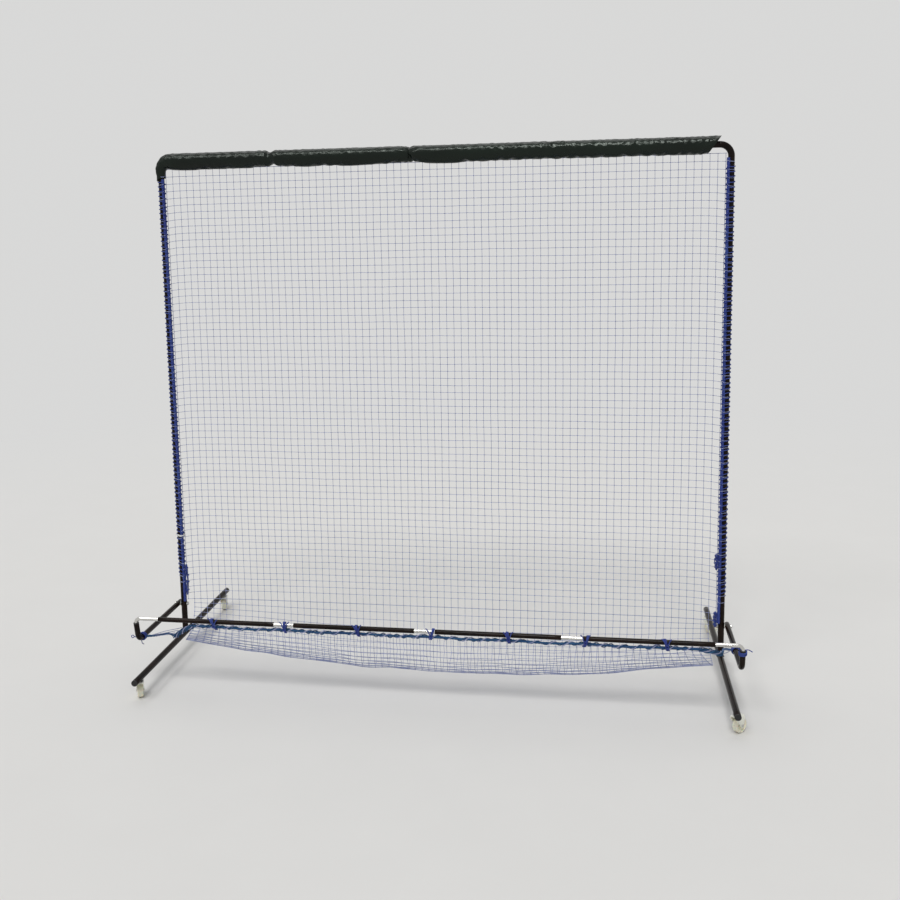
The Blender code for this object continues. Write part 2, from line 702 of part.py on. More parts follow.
def axle_mesh():
    """Riveted axle pin about X through the wheel's centre."""
    half = FORK_OUTER / 2 + FIT
    profile = [
        (0, half + AXLE_HEAD),
        (AXLE_HEAD_RADIUS - EDGE_ROUND, half + AXLE_HEAD),
        (AXLE_HEAD_RADIUS, half + AXLE_HEAD - EDGE_ROUND),
        (AXLE_HEAD_RADIUS, half),
        (AXLE_RADIUS, half),
        (AXLE_RADIUS, -half),
        (AXLE_HEAD_RADIUS, -half),
        (AXLE_HEAD_RADIUS, EDGE_ROUND - half - AXLE_HEAD),
        (AXLE_HEAD_RADIUS - EDGE_ROUND, -half - AXLE_HEAD),
        (0, -half - AXLE_HEAD),
    ]
    axle = turned("caster_axle", profile, 10)
    axle.matrix_world = Matrix.Rotation(math.pi / 2, 4, "Y")
    made = as_mesh(axle)
    made.data.transform(made.matrix_world)
    return made.data


def make_casters():
    fork = fork_mesh()
    stem = stem_mesh()
    wheel = wheel_mesh()
    axle = axle_mesh()
    for corner, turn in CASTER_TURN.items():
        end = -1 if corner.startswith("front") else 1
        side = -1 if corner.endswith("left") else 1
        at = Vector((side * HALF_SPACING, end * (HALF_LEG - CASTER_INSET), 0))
        swivel = joint_empty(f"swivel_axis_{corner}", at, -math.radians(turn))
        axle_at = Vector((0, CASTER_TRAIL, WHEEL_RADIUS))
        spin = joint_empty(f"spin_axis_{corner}", axle_at, 0, swivel)
        pieces = (
            (f"caster_stem_{corner}", stem, ZINC, None, at),
            (f"caster_fork_{corner}", fork, PALE_STEEL, swivel, Vector()),
            (f"caster_axle_{corner}", axle, ZINC, swivel, axle_at),
            (f"caster_wheel_{corner}", wheel, CREAM_NYLON, spin, Vector()),
        )
        for name, mesh, finish, parent, location in pieces:
            piece = bpy.data.objects.new(name, mesh.copy())
            piece.location = location
            piece.parent = parent
            piece.data.materials.clear()
            piece.data.materials.append(finish)
            PARTS.objects.link(piece)


# Net, laces, rope and ties.


def net_from_grid(name, columns, rows, where):
    """A square-meshed net: a grid placed by where(u, v), each edge of it made a strand."""
    mesh = bpy.data.meshes.new(name)
    maker = bmesh.new()
    bmesh.ops.create_grid(maker, x_segments=columns, y_segments=rows, size=0.5)
    for vertex in maker.verts:
        vertex.co = where(vertex.co.x + 0.5, vertex.co.y + 0.5)
    maker.to_mesh(mesh)
    maker.free()
    net = bpy.data.objects.new(name, mesh)
    strands = net.modifiers.new("strands", "WIREFRAME")
    strands.thickness = STRAND
    strands.use_even_offset = False
    strands.use_boundary = True
    return net


def panel_point(u, v):
    x = NET_HALF * (2 * u - 1)
    return Vector((x, 0, NET_FOOT + (NET_TOP - NET_FOOT) * v))


def pocket_ends():
    """X of the pocket's front corners, where the border rope leaves the rail."""
    return POCKET_LEFT_GAP - ARM_X, ARM_X - POCKET_RIGHT_GAP


def pocket_point(u, v):
    """Trough between the foot of the panel, v = 0, and the border rope, v = 1."""
    left, right = pocket_ends()
    back_half = HALF_SPACING - POCKET_BACK_INSET
    front = left + (right - left) * u
    back = back_half * (2 * u - 1)
    across = 2 * u - 1
    depth = POCKET_END_DEPTH + (POCKET_DEPTH - POCKET_END_DEPTH) * (1 - across * across)
    line = (NET_FOOT - STRAND - FIT) * (1 - v) + POCKET_EDGE_Z * v
    sag = (4 * v * (1 - v)) ** POCKET_FULLNESS
    return Vector((back + (front - back) * v, RAIL_Y * v, line - depth * sag))


def make_lace(side, name):
    """Cord wound up the upright through the edge of the net, as one unbroken tube."""
    foot = ARM_HEIGHT + LACE_FOOT
    head = TOP_BAR_HEIGHT - LACE_HEAD
    count = LACE_TURNS * LACE_POINTS
    points = []
    for i in range(count + 1):
        turn = 2 * math.pi * i / LACE_POINTS
        across = Vector((-side * math.cos(turn), math.sin(turn), 0)) * LACE_COIL
        points.append(Vector((side * HALF_SPACING, 0, foot + (head - foot) * i / count)) + across)
    gap = least_self_gap(points, 2 * LACE_RADIUS, LACE_POINTS // 2)
    print(f"{name}: least gap between turns {1000 * gap:.1f} mm")
    return place(swept(name, points, LACE_RADIUS, sides=6), BLUE_CORD)


def make_front_rope():
    """Border rope: knotted to the left arm, up to the rail, along under it and off to the right arm."""
    left, right = pocket_ends()
    arm_face = ARM_X - ARM_TUBE_RADIUS - FIT
    left_knot = Vector((-arm_face, -ARM_REACH + KNOT_FROM_BEND_LEFT, ARM_HEIGHT))
    right_knot = Vector((arm_face, -ARM_REACH + KNOT_FROM_BEND_RIGHT, ARM_HEIGHT))
    inward = Vector((KNOT_LENGTH, 0, 0))
    left_run = [
        left_knot + 2 * inward,
        left_knot + Vector((0.060, 0.014, -0.012)),
        left_knot + Vector((0.105, 0.018, -0.018)),
        (left - 0.090, RAIL_Y + 0.050, ROPE_Z - 0.058),
        (left - 0.045, RAIL_Y + 0.014, ROPE_Z - 0.018),
        (left, RAIL_Y, ROPE_Z),
    ]
    right_run = [
        (right, RAIL_Y, ROPE_Z),
        (right + 0.040, RAIL_Y + 0.012, ROPE_Z - 0.010),
        (right + 0.085, RAIL_Y + 0.050, ROPE_Z - 0.032),
        right_knot - 2 * inward,
    ]
    points = [left_knot, left_knot + inward, *smooth_path(left_run, 0.012)]
    points += [*smooth_path(right_run, 0.012), right_knot - inward, right_knot]
    scales = [1.0] * len(points)
    scales[0] = scales[1] = scales[-1] = scales[-2] = KNOT_SCALE
    rope = swept("front_rope", points, ROPE_RADIUS, sides=6, scales=scales)
    return place(rope, DARK_BLUE_ROPE, POCKET_AXIS)


def make_tie(x, name):
    """Two turns of cord about rail, rope and net edge, with both tails standing up."""
    top = RAIL_Z + RAIL_TUBE_RADIUS
    bottom = POCKET_EDGE_Z - 0.38 * STRAND
    inner_high = (top - bottom) / 2 + FIT + TIE_RADIUS * math.cos(math.pi / 4)
    inner_wide = math.sqrt(inner_high * (RAIL_TUBE_RADIUS + FIT + TIE_RADIUS))
    half_high = inner_high / math.cos(math.pi / TIE_POINTS)
    half_wide = inner_wide / math.cos(math.pi / TIE_POINTS)
    centre = Vector((x, RAIL_Y, (top + bottom) / 2))
    points = []
    turns = 1.5
    count = round(turns * TIE_POINTS)
    for i in range(count + 1):
        angle = math.pi / 2 - 2 * math.pi * (i - count / 2) / TIE_POINTS + math.pi
        along = TIE_PITCH * (i / count - 0.5) * turns
        points.append(centre + Vector((along, half_wide * math.cos(angle), half_high * math.sin(angle))))
    first = points[0] + Vector((-0.35, 0, 1)).normalized() * TIE_TAIL
    last = points[-1] + Vector((0.45, 0, 1)).normalized() * TIE_TAIL
    tie = swept(name, [first, *points, last], TIE_RADIUS, sides=4)
    return place(tie, BLUE_CORD, POCKET_AXIS)


def make_ties():
    left, right = pocket_ends()
    cell = (right - left) / POCKET_COLUMNS
    for number in range(TIE_COUNT):
        make_tie(left + cell * (TIE_CELLS * number + TIE_IN_CELL), f"tie_{number + 1}")


clear_scene()
PARTS = new_collection("ball_catching_net")
CUTTERS = new_collection("cutters")

BLACK_PAINT = new_material("black_paint", (0.012, 0.010, 0.010), 0.32)
BLACK_PLASTIC = new_material("black_plastic", (0.015, 0.015, 0.015), 0.5)
BLACK_VINYL = new_material("black_vinyl", (0.014, 0.017, 0.015), 0.34)
BRIGHT_STEEL = new_material("bright_steel", (0.82, 0.82, 0.80), 0.12, 1.0)
ZINC = new_material("zinc_plate", (0.62, 0.62, 0.60), 0.35, 1.0)
PALE_STEEL = new_material("pale_zinc_fork", (0.72, 0.72, 0.66), 0.4, 0.8)
WHITE_NYLON = new_material("white_nylon", (0.80, 0.80, 0.78), 0.45)
CREAM_NYLON = new_material("cream_nylon", (0.80, 0.77, 0.62), 0.45)
NET_CORD = new_material("net_cord", (0.42, 0.45, 0.66), 0.8)
BLUE_CORD = new_material("blue_cord", (0.07, 0.08, 0.42), 0.75)
DARK_BLUE_ROPE = new_material("dark_blue_rope", (0.02, 0.05, 0.16), 0.75)

POCKET_AXIS = joint_empty("pocket_fold_axis", (0, 0, ARM_HEIGHT))

for SIDE, SIDE_NAME in ((-1, "left"), (1, "right")):
    make_leg(SIDE, f"leg_{SIDE_NAME}")
    for END, END_NAME in ((-1, "front"), (1, "back")):
        make_leg_cap(SIDE, END, f"leg_cap_{END_NAME}_{SIDE_NAME}")
    make_upright(SIDE, f"upright_{SIDE_NAME}")
    make_corner(SIDE, f"corner_elbow_{SIDE_NAME}")
    make_arm(SIDE, f"pocket_arm_{SIDE_NAME}")
    make_riser_bush(SIDE, f"riser_bush_{SIDE_NAME}")
    make_rail_elbow(SIDE, f"rail_elbow_{SIDE_NAME}")
    make_pivot(SIDE, SIDE_NAME)
    make_lace(SIDE, f"edge_lace_{SIDE_NAME}")
make_top_bar()
make_top_pad()
make_rail()
make_casters()
place(net_from_grid("net_panel", PANEL_COLUMNS, PANEL_ROWS, panel_point), NET_CORD)
place(net_from_grid("net_pocket", POCKET_COLUMNS, POCKET_ROWS, pocket_point), NET_CORD, POCKET_AXIS)
make_front_rope()
make_ties()
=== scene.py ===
"""Rolling ball-catching net: the finished surfaces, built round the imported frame.

Metres, +Z up, the front at -Y. Every piece takes its place from the frame's nodes and its own
sizes from the property groups below. Each operator makes one piece, or one group of like pieces.
"""

import functools
import json
import math

import bpy
import numpy as np
from bpy.props import FloatProperty, FloatVectorProperty, IntProperty, PointerProperty
from mathutils import Matrix, Vector, noise


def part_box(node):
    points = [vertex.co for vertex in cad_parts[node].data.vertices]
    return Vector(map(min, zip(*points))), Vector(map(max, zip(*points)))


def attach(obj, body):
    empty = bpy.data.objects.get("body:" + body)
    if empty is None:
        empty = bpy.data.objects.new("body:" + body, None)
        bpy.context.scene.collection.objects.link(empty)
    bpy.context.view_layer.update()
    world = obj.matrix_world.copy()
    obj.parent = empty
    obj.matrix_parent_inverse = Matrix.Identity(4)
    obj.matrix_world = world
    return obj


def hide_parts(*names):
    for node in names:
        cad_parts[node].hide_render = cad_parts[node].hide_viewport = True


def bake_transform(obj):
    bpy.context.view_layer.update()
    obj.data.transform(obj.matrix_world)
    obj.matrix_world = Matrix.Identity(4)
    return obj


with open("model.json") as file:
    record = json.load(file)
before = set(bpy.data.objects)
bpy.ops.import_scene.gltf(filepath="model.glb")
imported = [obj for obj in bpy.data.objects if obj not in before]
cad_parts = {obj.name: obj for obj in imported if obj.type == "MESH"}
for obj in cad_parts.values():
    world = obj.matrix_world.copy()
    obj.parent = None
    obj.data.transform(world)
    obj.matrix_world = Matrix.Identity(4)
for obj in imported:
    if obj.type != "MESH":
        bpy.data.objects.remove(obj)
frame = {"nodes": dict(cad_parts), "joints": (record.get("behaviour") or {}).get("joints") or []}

bl_info = {
    "name": "Rolling ball-catching net",
    "version": (1, 0, 0),
    "blender": (4, 5, 0),
    "location": "3D View > Sidebar > Ball net",
    "description": "Builds the tubes, netting, cords, sleeve and casters of a rolling ball-catching net",
    "category": "Add Mesh",
}

UP = Vector((0, 0, 1))
BACK = Vector((0, 1, 0))
RIGHT = Vector((1, 0, 0))
SIDES = ((-1, "left"), (1, "right"))
ENDS = ((-1, "front"), (1, "back"))
SMALL = 0.0003  # gap that touching pieces keep


# Places, read from the frame.


@functools.cache
def box(node):
    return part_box(node)


def middle(node):
    low, high = box(node)
    return (low + high) / 2


def size_of(node):
    low, high = box(node)
    return high - low


def joint_place(name):
    found = next(joint for joint in frame["joints"] if joint["name"] == name)
    return Vector(found["pos_m"])


FRAME_RADIUS = size_of("upright_left").x / 2
ARM_RADIUS = size_of("pocket_arm_left").x / 2
RAIL_RADIUS = size_of("rail_tube_1").z / 2
ROD_RADIUS = size_of("rail_joiner_1").z / 2
PIVOT = joint_place("pocket_fold")
RAIL = Vector((0, middle("rail_tube_1").y, middle("rail_tube_1").z))
BAR_HEIGHT = middle("top_bar").z
POST_X = middle("upright_right").x
LEG_HEIGHT = middle("leg_cap_front_left").z
ROPE_DROP = 0.0095  # from the rail's underside to the rope's middle, which hangs there on its ties
ROPE_HEIGHT = RAIL.z - RAIL_RADIUS - ROPE_DROP


def riser_line(side_name):
    """Foot, top and heading of an arm's riser. Its top is on the rail's axis, its foot on the arm's."""
    x = middle(f"pocket_arm_{side_name}").x
    foot = Vector((x, PIVOT.y - settings("net_tubes").arm_reach, PIVOT.z))
    top = Vector((x, RAIL.y, RAIL.z))
    return foot, top, (top - foot).normalized()


# Settings.


def length(name, description, default):
    return FloatProperty(
        name=name,
        description=description,
        default=default,
        min=0.0,
        precision=4,
        subtype="DISTANCE",
        unit="LENGTH",
    )


def share(name, description, default):
    return FloatProperty(name=name, description=description, default=default, min=0.0, subtype="FACTOR")


def count(name, description, default):
    return IntProperty(name=name, description=description, default=default, min=1)


def colour(name, description, default):
    return FloatVectorProperty(
        name=name, description=description, default=default, size=3, min=0, max=1, subtype="COLOR"
    )


def strength(name, description, default):
    return FloatProperty(name=name, description=description, default=default, min=0.0)


def shift(name, description, default):
    return FloatProperty(name=name, description=description, default=default)


def angle_of(name, description, degrees):
    return FloatProperty(
        name=name, description=description, default=math.radians(degrees), subtype="ANGLE", unit="ROTATION"
    )


class TubeSizes(bpy.types.PropertyGroup):
    """Steel tubes, rods and pivots"""

    sides: count("Tube sides", "Faces round a tube", 32)
    wall: length("Tube wall", "Wall of the legs, uprights, top bar and arms", 0.0012)
    rim: length("Rim round", "Rounding of a tube's cut end", 0.00035)
    corner_bend: length("Corner bend", "Centre-line radius of the top corners", 0.038)
    corner_collar: length("Corner collar", "Straight length at each end of a top corner", 0.003)
    arm_reach: length("Arm reach", "Pivot to where the arm's line meets the riser's", 0.360)
    arm_bend: length("Arm bend", "Centre-line radius of the bend from arm to riser", 0.030)
    riser_stop: length("Riser stop", "Rail axis above the riser's open end", 0.020)
    elbow_bend: length("Elbow bend", "Centre-line radius of the bright elbows", 0.018)
    plug: length("Plug", "How far an elbow enters its riser", 0.035)
    bead: length("Weld bead", "Radius of the weld bead at the foot of an upright", 0.0019)


class CasterSizes(bpy.types.PropertyGroup):
    """Casters under the legs"""

    wheel_radius: length("Wheel radius", "Radius of the tread", 0.025)
    wheel_width: length("Wheel width", "Width across the tread", 0.020)
    shoulder: length("Shoulder", "Rounding between tread and side", 0.0042)
    rim: length("Rim", "Height of the rim round the recessed web", 0.0055)
    recess: length("Recess", "Depth of the web below the rim", 0.0035)
    hub: length("Hub", "Radius of the hub", 0.0085)
    bore: length("Bore", "Radius of the hub's bore", 0.0033)
    ribs: count("Ribs", "Ribs between hub and rim", 6)


class SleeveSizes(bpy.types.PropertyGroup):
    """Padded vinyl sleeve over the top bar"""

    radius: length("Radius", "Radius of the padded sleeve", 0.0282)
    foot_radius: length("Foot radius", "Radius where it ends on the left upright", 0.0165)
    swell: length("Swell", "Length over which it swells from the foot to its full radius", 0.100)
    drop: length("Drop", "How far it runs down the left upright", 0.060)
    step: length("Step", "Spacing of the sleeve's rings", 0.0075)
    foam: length("Foam depth", "Vinyl's stand-off from the foam core", 0.0030)
    crease: length("Crease", "Depth of the pinch where two foam cores meet", 0.009)
    crease_width: length("Crease width", "Half width of such a pinch", 0.011)
    end_slant: length("End slant", "How far the right end is cut back underneath", 0.042)
    overreach: length("Overreach", "How far the right end's tip passes the foam", 0.008)
    thickness: length("Thickness", "Thickness of the vinyl", 0.0010)
    flap: length("Flap", "Width of the lapped closing flap", 0.021)
    slack: share("Slack", "How much longer the vinyl is than its foam", 0.04)
    fill: share("Fill", "0 slack, 1 tight", 0.7)


class NetSizes(bpy.types.PropertyGroup):
    """Netting, cords and knots"""

    strand: length("Strand", "Thickness of a net strand", 0.0020)
    mesh: length("Mesh", "Side of one square mesh", 0.0255)
    knot: length("Knot", "Radius of the ball that a net knot is stretched from", 0.0017)
    billow: length("Billow", "How far the panel waves out of its plane", 0.007)
    sag: length("Sag", "How far strands wave in the plane", 0.0024)
    droop: length("Droop", "How far the lowest rows are pulled down beside the uprights", 0.034)
    pocket_depth: length("Pocket depth", "Sag of the pocket at mid width", 0.175)
    pocket_end_depth: length("Pocket end depth", "Sag of the pocket at its two ends", 0.092)
    pocket_flare: length("Pocket flare", "How far the belly's ends are drawn out towards the arms", 0.055)
    pocket_fullness: share("Pocket fullness", "Below 1 the trough is rounder than a parabola", 0.65)
    edge_cord: length("Edge cord", "Radius of the cord along the net's sides", 0.0058)
    lace: length("Lace", "Radius of the lacing cord", 0.0016)
    lace_pitch: length("Lace pitch", "Rise of the lacing in one turn", 0.0165)
    rope: length("Rope", "Radius of the border rope", 0.0042)
    gather: length("Gather", "Radius of the strands gathered along the border rope", 0.0017)
    tie: length("Tie", "Radius of the tie cords", 0.0020)
    thin: length("Thin cord", "Radius of the loose thin cords", 0.0011)


class NetColours(bpy.types.PropertyGroup):
    """Colours of the finishes"""

    paint: colour("Black paint", "Gloss paint on the tubes", (0.0060, 0.0044, 0.0038))
    plastic: colour("Black plastic", "End caps and bushes", (0.013, 0.013, 0.013))
    vinyl: colour("Vinyl", "Padded sleeve", (0.0044, 0.0062, 0.0050))
    bright: colour("Bright steel", "Polished joiners and elbows", (0.66, 0.65, 0.62))
    zinc: colour("Zinc", "Bolts, nuts, stems and axles", (0.52, 0.52, 0.50))
    fork: colour("Fork", "Pale plated caster forks", (0.86, 0.86, 0.77))
    nylon: colour("White nylon", "Pivot washers", (0.80, 0.80, 0.77))
    wheel: colour("Wheel nylon", "Cream caster wheels", (0.90, 0.87, 0.70))
    net: colour("Net", "Pale blue net strands", (0.30, 0.34, 0.58))
    cord: colour("Blue cord", "Lacing and ties", (0.034, 0.050, 0.280))
    rope: colour("Rope", "Dark blue border rope", (0.014, 0.058, 0.170))
    tag: colour("White tie", "Small white tie on the left upright", (0.85, 0.86, 0.86))


class StageSettings(bpy.types.PropertyGroup):
    """Floor, lamps and camera"""

    floor: colour("Floor", "Plain pale floor", (0.72, 0.71, 0.69))
    backdrop: colour("Backdrop", "What the camera sees beyond the floor", (0.69, 0.69, 0.685))
    fade_from: length("Fade from", "Distance at which the floor starts to fade into the backdrop", 2.2)
    fade_to: length("Fade to", "Distance at which only the backdrop is seen", 5.5)
    key: strength("Key light", "Strength of the soft light from above the front", 1.25)
    fill: strength("Fill light", "Strength of the soft light from the left", 0.55)
    top: strength("Top light", "Strength of the broad light from overhead", 0.70)
    sky: strength("Sky", "Strength of the even light from all round", 0.32)
    spread: angle_of("Spread", "Width of the key and fill lights", 17)
    top_spread: angle_of("Top spread", "Width of the overhead light", 50)
    eye: FloatVectorProperty(
        name="Camera",
        description="Where the camera stands",
        default=(0.546, -3.6221, 1.6161),
        subtype="TRANSLATION",
    )
    pitch: angle_of("Pitch", "How far the camera looks down", 8.105)
    roll: angle_of("Roll", "How far the camera is tipped", -1.132)
    yaw: angle_of("Yaw", "How far the camera looks to the left", 9.52)
    lens: FloatProperty(
        name="Lens",
        description="Focal length for a sensor 36 mm wide",
        default=41.424,
        subtype="DISTANCE_CAMERA",
        unit="CAMERA",
    )
    shift_x: shift("Shift X", "Sideways shift of the picture, as a share of its width", 0.0334)
    shift_y: shift("Shift Y", "Upward shift of the picture, as a share of its width", -0.0866)


GROUPS = {
    "net_tubes": TubeSizes,
    "net_casters": CasterSizes,
    "net_sleeve": SleeveSizes,
    "net_netting": NetSizes,
    "net_colours": NetColours,
    "net_stage": StageSettings,
}


def settings(name):
    return getattr(bpy.context.scene, name)


# Modelling steps that the pieces share.


def select_only(obj):
    if bpy.context.object is not None and bpy.context.object.mode != "OBJECT":
        bpy.ops.object.mode_set(mode="OBJECT")
    bpy.ops.object.select_all(action="DESELECT")
    obj.select_set(True)
    bpy.context.view_layer.objects.active = obj
    return obj


def settle(obj, name=None):
    """Name an object and put its place into its mesh."""
    if name:
        obj.name = name
        obj.data.name = name
    select_only(obj)
    bpy.ops.object.transform_apply(location=True, rotation=True, scale=True)
    return obj


def face_outwards(obj, weld=1e-6):
    """Weld doubled points and turn every face outwards."""
    select_only(obj)
    bpy.ops.object.mode_set(mode="EDIT")
    bpy.ops.mesh.select_all(action="SELECT")
    bpy.ops.mesh.remove_doubles(threshold=weld)
    bpy.ops.mesh.normals_make_consistent(inside=False)
    bpy.ops.object.mode_set(mode="OBJECT")
    return obj


def apply_modifier(obj, kind, **values):
    """Add one modifier, set it and apply it."""
    select_only(obj)
    modifier = obj.modifiers.new(kind.lower(), kind)
    for key, value in values.items():
        setattr(modifier, key, value)
    bpy.ops.object.modifier_apply(modifier=modifier.name)
    return obj


def shade(obj, degrees=35):
    select_only(obj)
    bpy.ops.object.shade_smooth_by_angle(angle=math.radians(degrees))
    return obj


def round_edges(obj, width, degrees=50, segments=2):
    return apply_modifier(
        obj,
        "BEVEL",
        width=width,
        segments=segments,
        limit_method="ANGLE",
        angle_limit=math.radians(degrees),
        harden_normals=False,
    )


def join(objects, name):
    """Join objects into the first one."""
    select_only(objects[0])
    for obj in objects[1:]:
        obj.select_set(True)
    bpy.ops.object.join()
    return settle(bpy.context.object, name)


def copy_of(obj, name):
    """A copy with its own mesh."""
    select_only(obj)
    bpy.ops.object.duplicate(linked=False)
    made = bpy.context.object
    made.name = name
    made.data.name = name
    return made


class Turning:
    """A round form drawn ring by ring: drawn out, stepped in or out, bent, domed and closed."""

    def __init__(self, name, start, heading, radius, sides=None):
        self.at = Vector(start)
        self.heading = Vector(heading).normalized()
        self.radius = radius
        turn = UP.rotation_difference(self.heading).to_euler()
        bpy.ops.object.select_all(action="DESELECT")
        bpy.ops.mesh.primitive_circle_add(
            vertices=sides or settings("net_tubes").sides, radius=radius, location=start, rotation=turn
        )
        self.obj = settle(bpy.context.object, name)
        bpy.ops.object.mode_set(mode="EDIT")
        bpy.ops.mesh.select_all(action="SELECT")

    def ring(self, radius, along=0.0):
        """One more ring, of another radius or further along."""
        move = self.heading * along
        bpy.ops.mesh.extrude_region_move(TRANSFORM_OT_translate={"value": move})
        self.at += move
        if radius != self.radius:
            factor = radius / self.radius
            bpy.ops.transform.resize(value=(factor,) * 3, center_override=self.at)
            self.radius = radius
        return self

    def draw(self, distance, steps=1):
        for _ in range(steps):
            self.ring(self.radius, distance / steps)
        return self

    def bend(self, towards, angle, radius, steps=12):
        """Turn the heading by angle towards a direction square to it."""
        centre = self.at + Vector(towards).normalized() * radius
        axis = self.heading.cross(towards).normalized()
        bpy.ops.mesh.spin(steps=steps, angle=-angle, center=centre, axis=axis)
        turn = Matrix.Rotation(angle, 3, axis)
        self.at = centre + turn @ (self.at - centre)
        self.heading = turn @ self.heading
        return self

    def dome(self, height, steps=5):
        """Round over to a closed pole."""
        radius, risen = self.radius, 0.0
        for step in range(1, steps):
            angle = math.pi / 2 * step / steps
            rise = height * math.sin(angle)
            self.ring(radius * math.cos(angle), rise - risen)
            risen = rise
        self.ring(radius * 0.02, height - risen)
        return self.cap()

    def cap(self):
        """Close the last ring with one face."""
        bpy.ops.mesh.edge_face_add()
        return self

    def rim(self, profile):
        for radius, along in profile:
            self.ring(radius, along)
        return self

    def done(self):
        bpy.ops.object.mode_set(mode="OBJECT")
        return self.obj


def tube_wall(obj, wall, rim):
    """Give an open tube its wall and round its cut ends."""
    face_outwards(obj)
    apply_modifier(obj, "SOLIDIFY", thickness=wall, offset=-1.0, use_even_offset=True)
    round_edges(obj, rim)
    return shade(obj)


def close_turned(obj):
    """Bridge the first and last rings of a turned piece, so that it is a closed ring of material."""
    select_only(obj)
    bpy.ops.object.mode_set(mode="EDIT")
    bpy.ops.mesh.select_mode(type="EDGE")
    bpy.ops.mesh.select_all(action="DESELECT")
    bpy.ops.mesh.select_non_manifold(
        extend=False, use_wire=False, use_multi_face=False, use_non_contiguous=False
    )
    bpy.ops.mesh.bridge_edge_loops()
    bpy.ops.mesh.select_mode(type="VERT")
    bpy.ops.object.mode_set(mode="OBJECT")
    return face_outwards(obj)


def close_holes(obj):
    """Fill what openings are left with flat faces."""
    select_only(obj)
    bpy.ops.object.mode_set(mode="EDIT")
    bpy.ops.mesh.select_all(action="SELECT")
    bpy.ops.mesh.fill_holes(sides=0)
    bpy.ops.object.mode_set(mode="OBJECT")
    return face_outwards(obj)


def from_node(node, name, edge=0.0004):
    """A finer copy of a frame node: welded, its flat faces merged and its edges rounded."""
    obj = copy_of(frame["nodes"][node], name)
    obj.parent = None
    for key in list(obj.keys()):
        del obj[key]
    face_outwards(obj, 1e-5)
    apply_modifier(obj, "DECIMATE", decimate_type="DISSOLVE", angle_limit=math.radians(1))
    round_edges(obj, edge, 30)
    return shade(obj, 30)


def smooth_path(knots, step):
    """Points about one step apart on a smooth curve through the knots."""
    knots = [Vector(knot) for knot in knots]
    padded = [2 * knots[0] - knots[1], *knots, 2 * knots[-1] - knots[-2]]
    points = []
    for a, b, c, d in zip(padded, padded[1:], padded[2:], padded[3:]):
        pieces = max(1, round((c - b).length / step))
        for i in range(pieces):
            t = i / pieces
            bow = (2 * a - 5 * b + 4 * c - d) * t**2 + (3 * b - 3 * c + d - a) * t**3
            points.append(0.5 * (2 * b + (c - a) * t + bow))
    return [*points, knots[-1]]


def evenly(points, step):
    """The same line with its points one step apart."""
    line = np.array([tuple(point) for point in points])
    run = np.concatenate([[0], np.cumsum(np.linalg.norm(np.diff(line, axis=0), axis=1))])
    marks = np.linspace(0, run[-1], max(2, int(run[-1] / step)))
    return [Vector(co) for co in zip(*(np.interp(marks, run, line[:, axis]) for axis in range(3)))]


def cord_line(points):
    """An open line through points, ready to be given a section and made a mesh."""
    bpy.ops.curve.primitive_nurbs_path_add(radius=1)
    line = bpy.context.object
    line.location = (0, 0, 0)
    curve = line.data
    curve.splines.clear()
    curve.dimensions = "3D"
    curve.twist_mode = "MINIMUM"
    curve.use_fill_caps = True
    spline = curve.splines.new("POLY")
    spline.points.add(len(points) - 1)
    for spot, point in zip(spline.points, points):
        spot.co = (*point, 1.0)
    return line


def cord_mesh(line, name):
    select_only(line)
    bpy.ops.object.convert(target="MESH")
    made = settle(bpy.context.object, name)
    face_outwards(made)
    return shade(made, 75)


def strand_section(radius, strands):
    """The outline of strands laid side by side in a ring, with a groove between each two."""
    groove = 0.76
    bpy.ops.curve.primitive_bezier_circle_add(radius=radius)
    section = bpy.context.object
    section.data.dimensions = "2D"
    section.data.splines.clear()
    outline = section.data.splines.new("POLY")
    outline.points.add(strands * 3 - 1)
    outline.use_cyclic_u = True
    for i, point in enumerate(outline.points):
        angle = -2 * math.pi * i / (strands * 3)
        reach = radius * (1.0 if i % 3 else groove)
        point.co = (reach * math.cos(angle), reach * math.sin(angle), 0, 1)
    return section


def laid_cord(name, points, radius, strands=3, lay=7.0):
    """A twisted cord along points. lay is the length of one twist, in radii."""
    per_twist = 7
    section = strand_section(radius, strands)
    line = cord_line(evenly(points, radius * lay / per_twist))
    line.data.bevel_mode = "OBJECT"
    line.data.bevel_object = section
    for i, spot in enumerate(line.data.splines[0].points):
        spot.tilt = 2 * math.pi * i / per_twist
    made = cord_mesh(line, name)
    bpy.data.objects.remove(section)
    return made


def plain_cord(name, points, radius, sides=6, swell=None):
    """A round cord along points. swell(t) scales its radius at a share t of its points."""
    line = cord_line(points)
    line.data.bevel_depth = radius
    line.data.bevel_resolution = max(0, (sides - 4) // 2)
    if swell:
        for i, spot in enumerate(line.data.splines[0].points):
            spot.radius = swell(i / (len(points) - 1))
    return cord_mesh(line, name)


def coil(centre, axis, radius, turns, pitch, steps=14):
    """Points of a coil about an axis through centre."""
    axis = Vector(axis).normalized()
    first = axis.orthogonal().normalized() if abs(axis.z) > 0.9 else UP.cross(axis).normalized()
    second = axis.cross(first)
    total = max(2, round(turns * steps))
    made = []
    for i in range(total + 1):
        angle = 2 * math.pi * turns * i / total
        along = pitch * turns * (i / total - 0.5)
        out = radius * (first * math.cos(angle) + second * math.sin(angle))
        made.append(Vector(centre) + axis * along + out)
    return made


def finish_piece(obj, material, body, slot, *nodes):
    """Give a piece its finish and its body, and hide the frame nodes that it stands for. Its slot is not
    used.
    """
    obj.data.materials.clear()
    obj.data.materials.append(material)
    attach(obj, body)
    if nodes:
        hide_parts(*nodes)
    return obj


# Finishes.


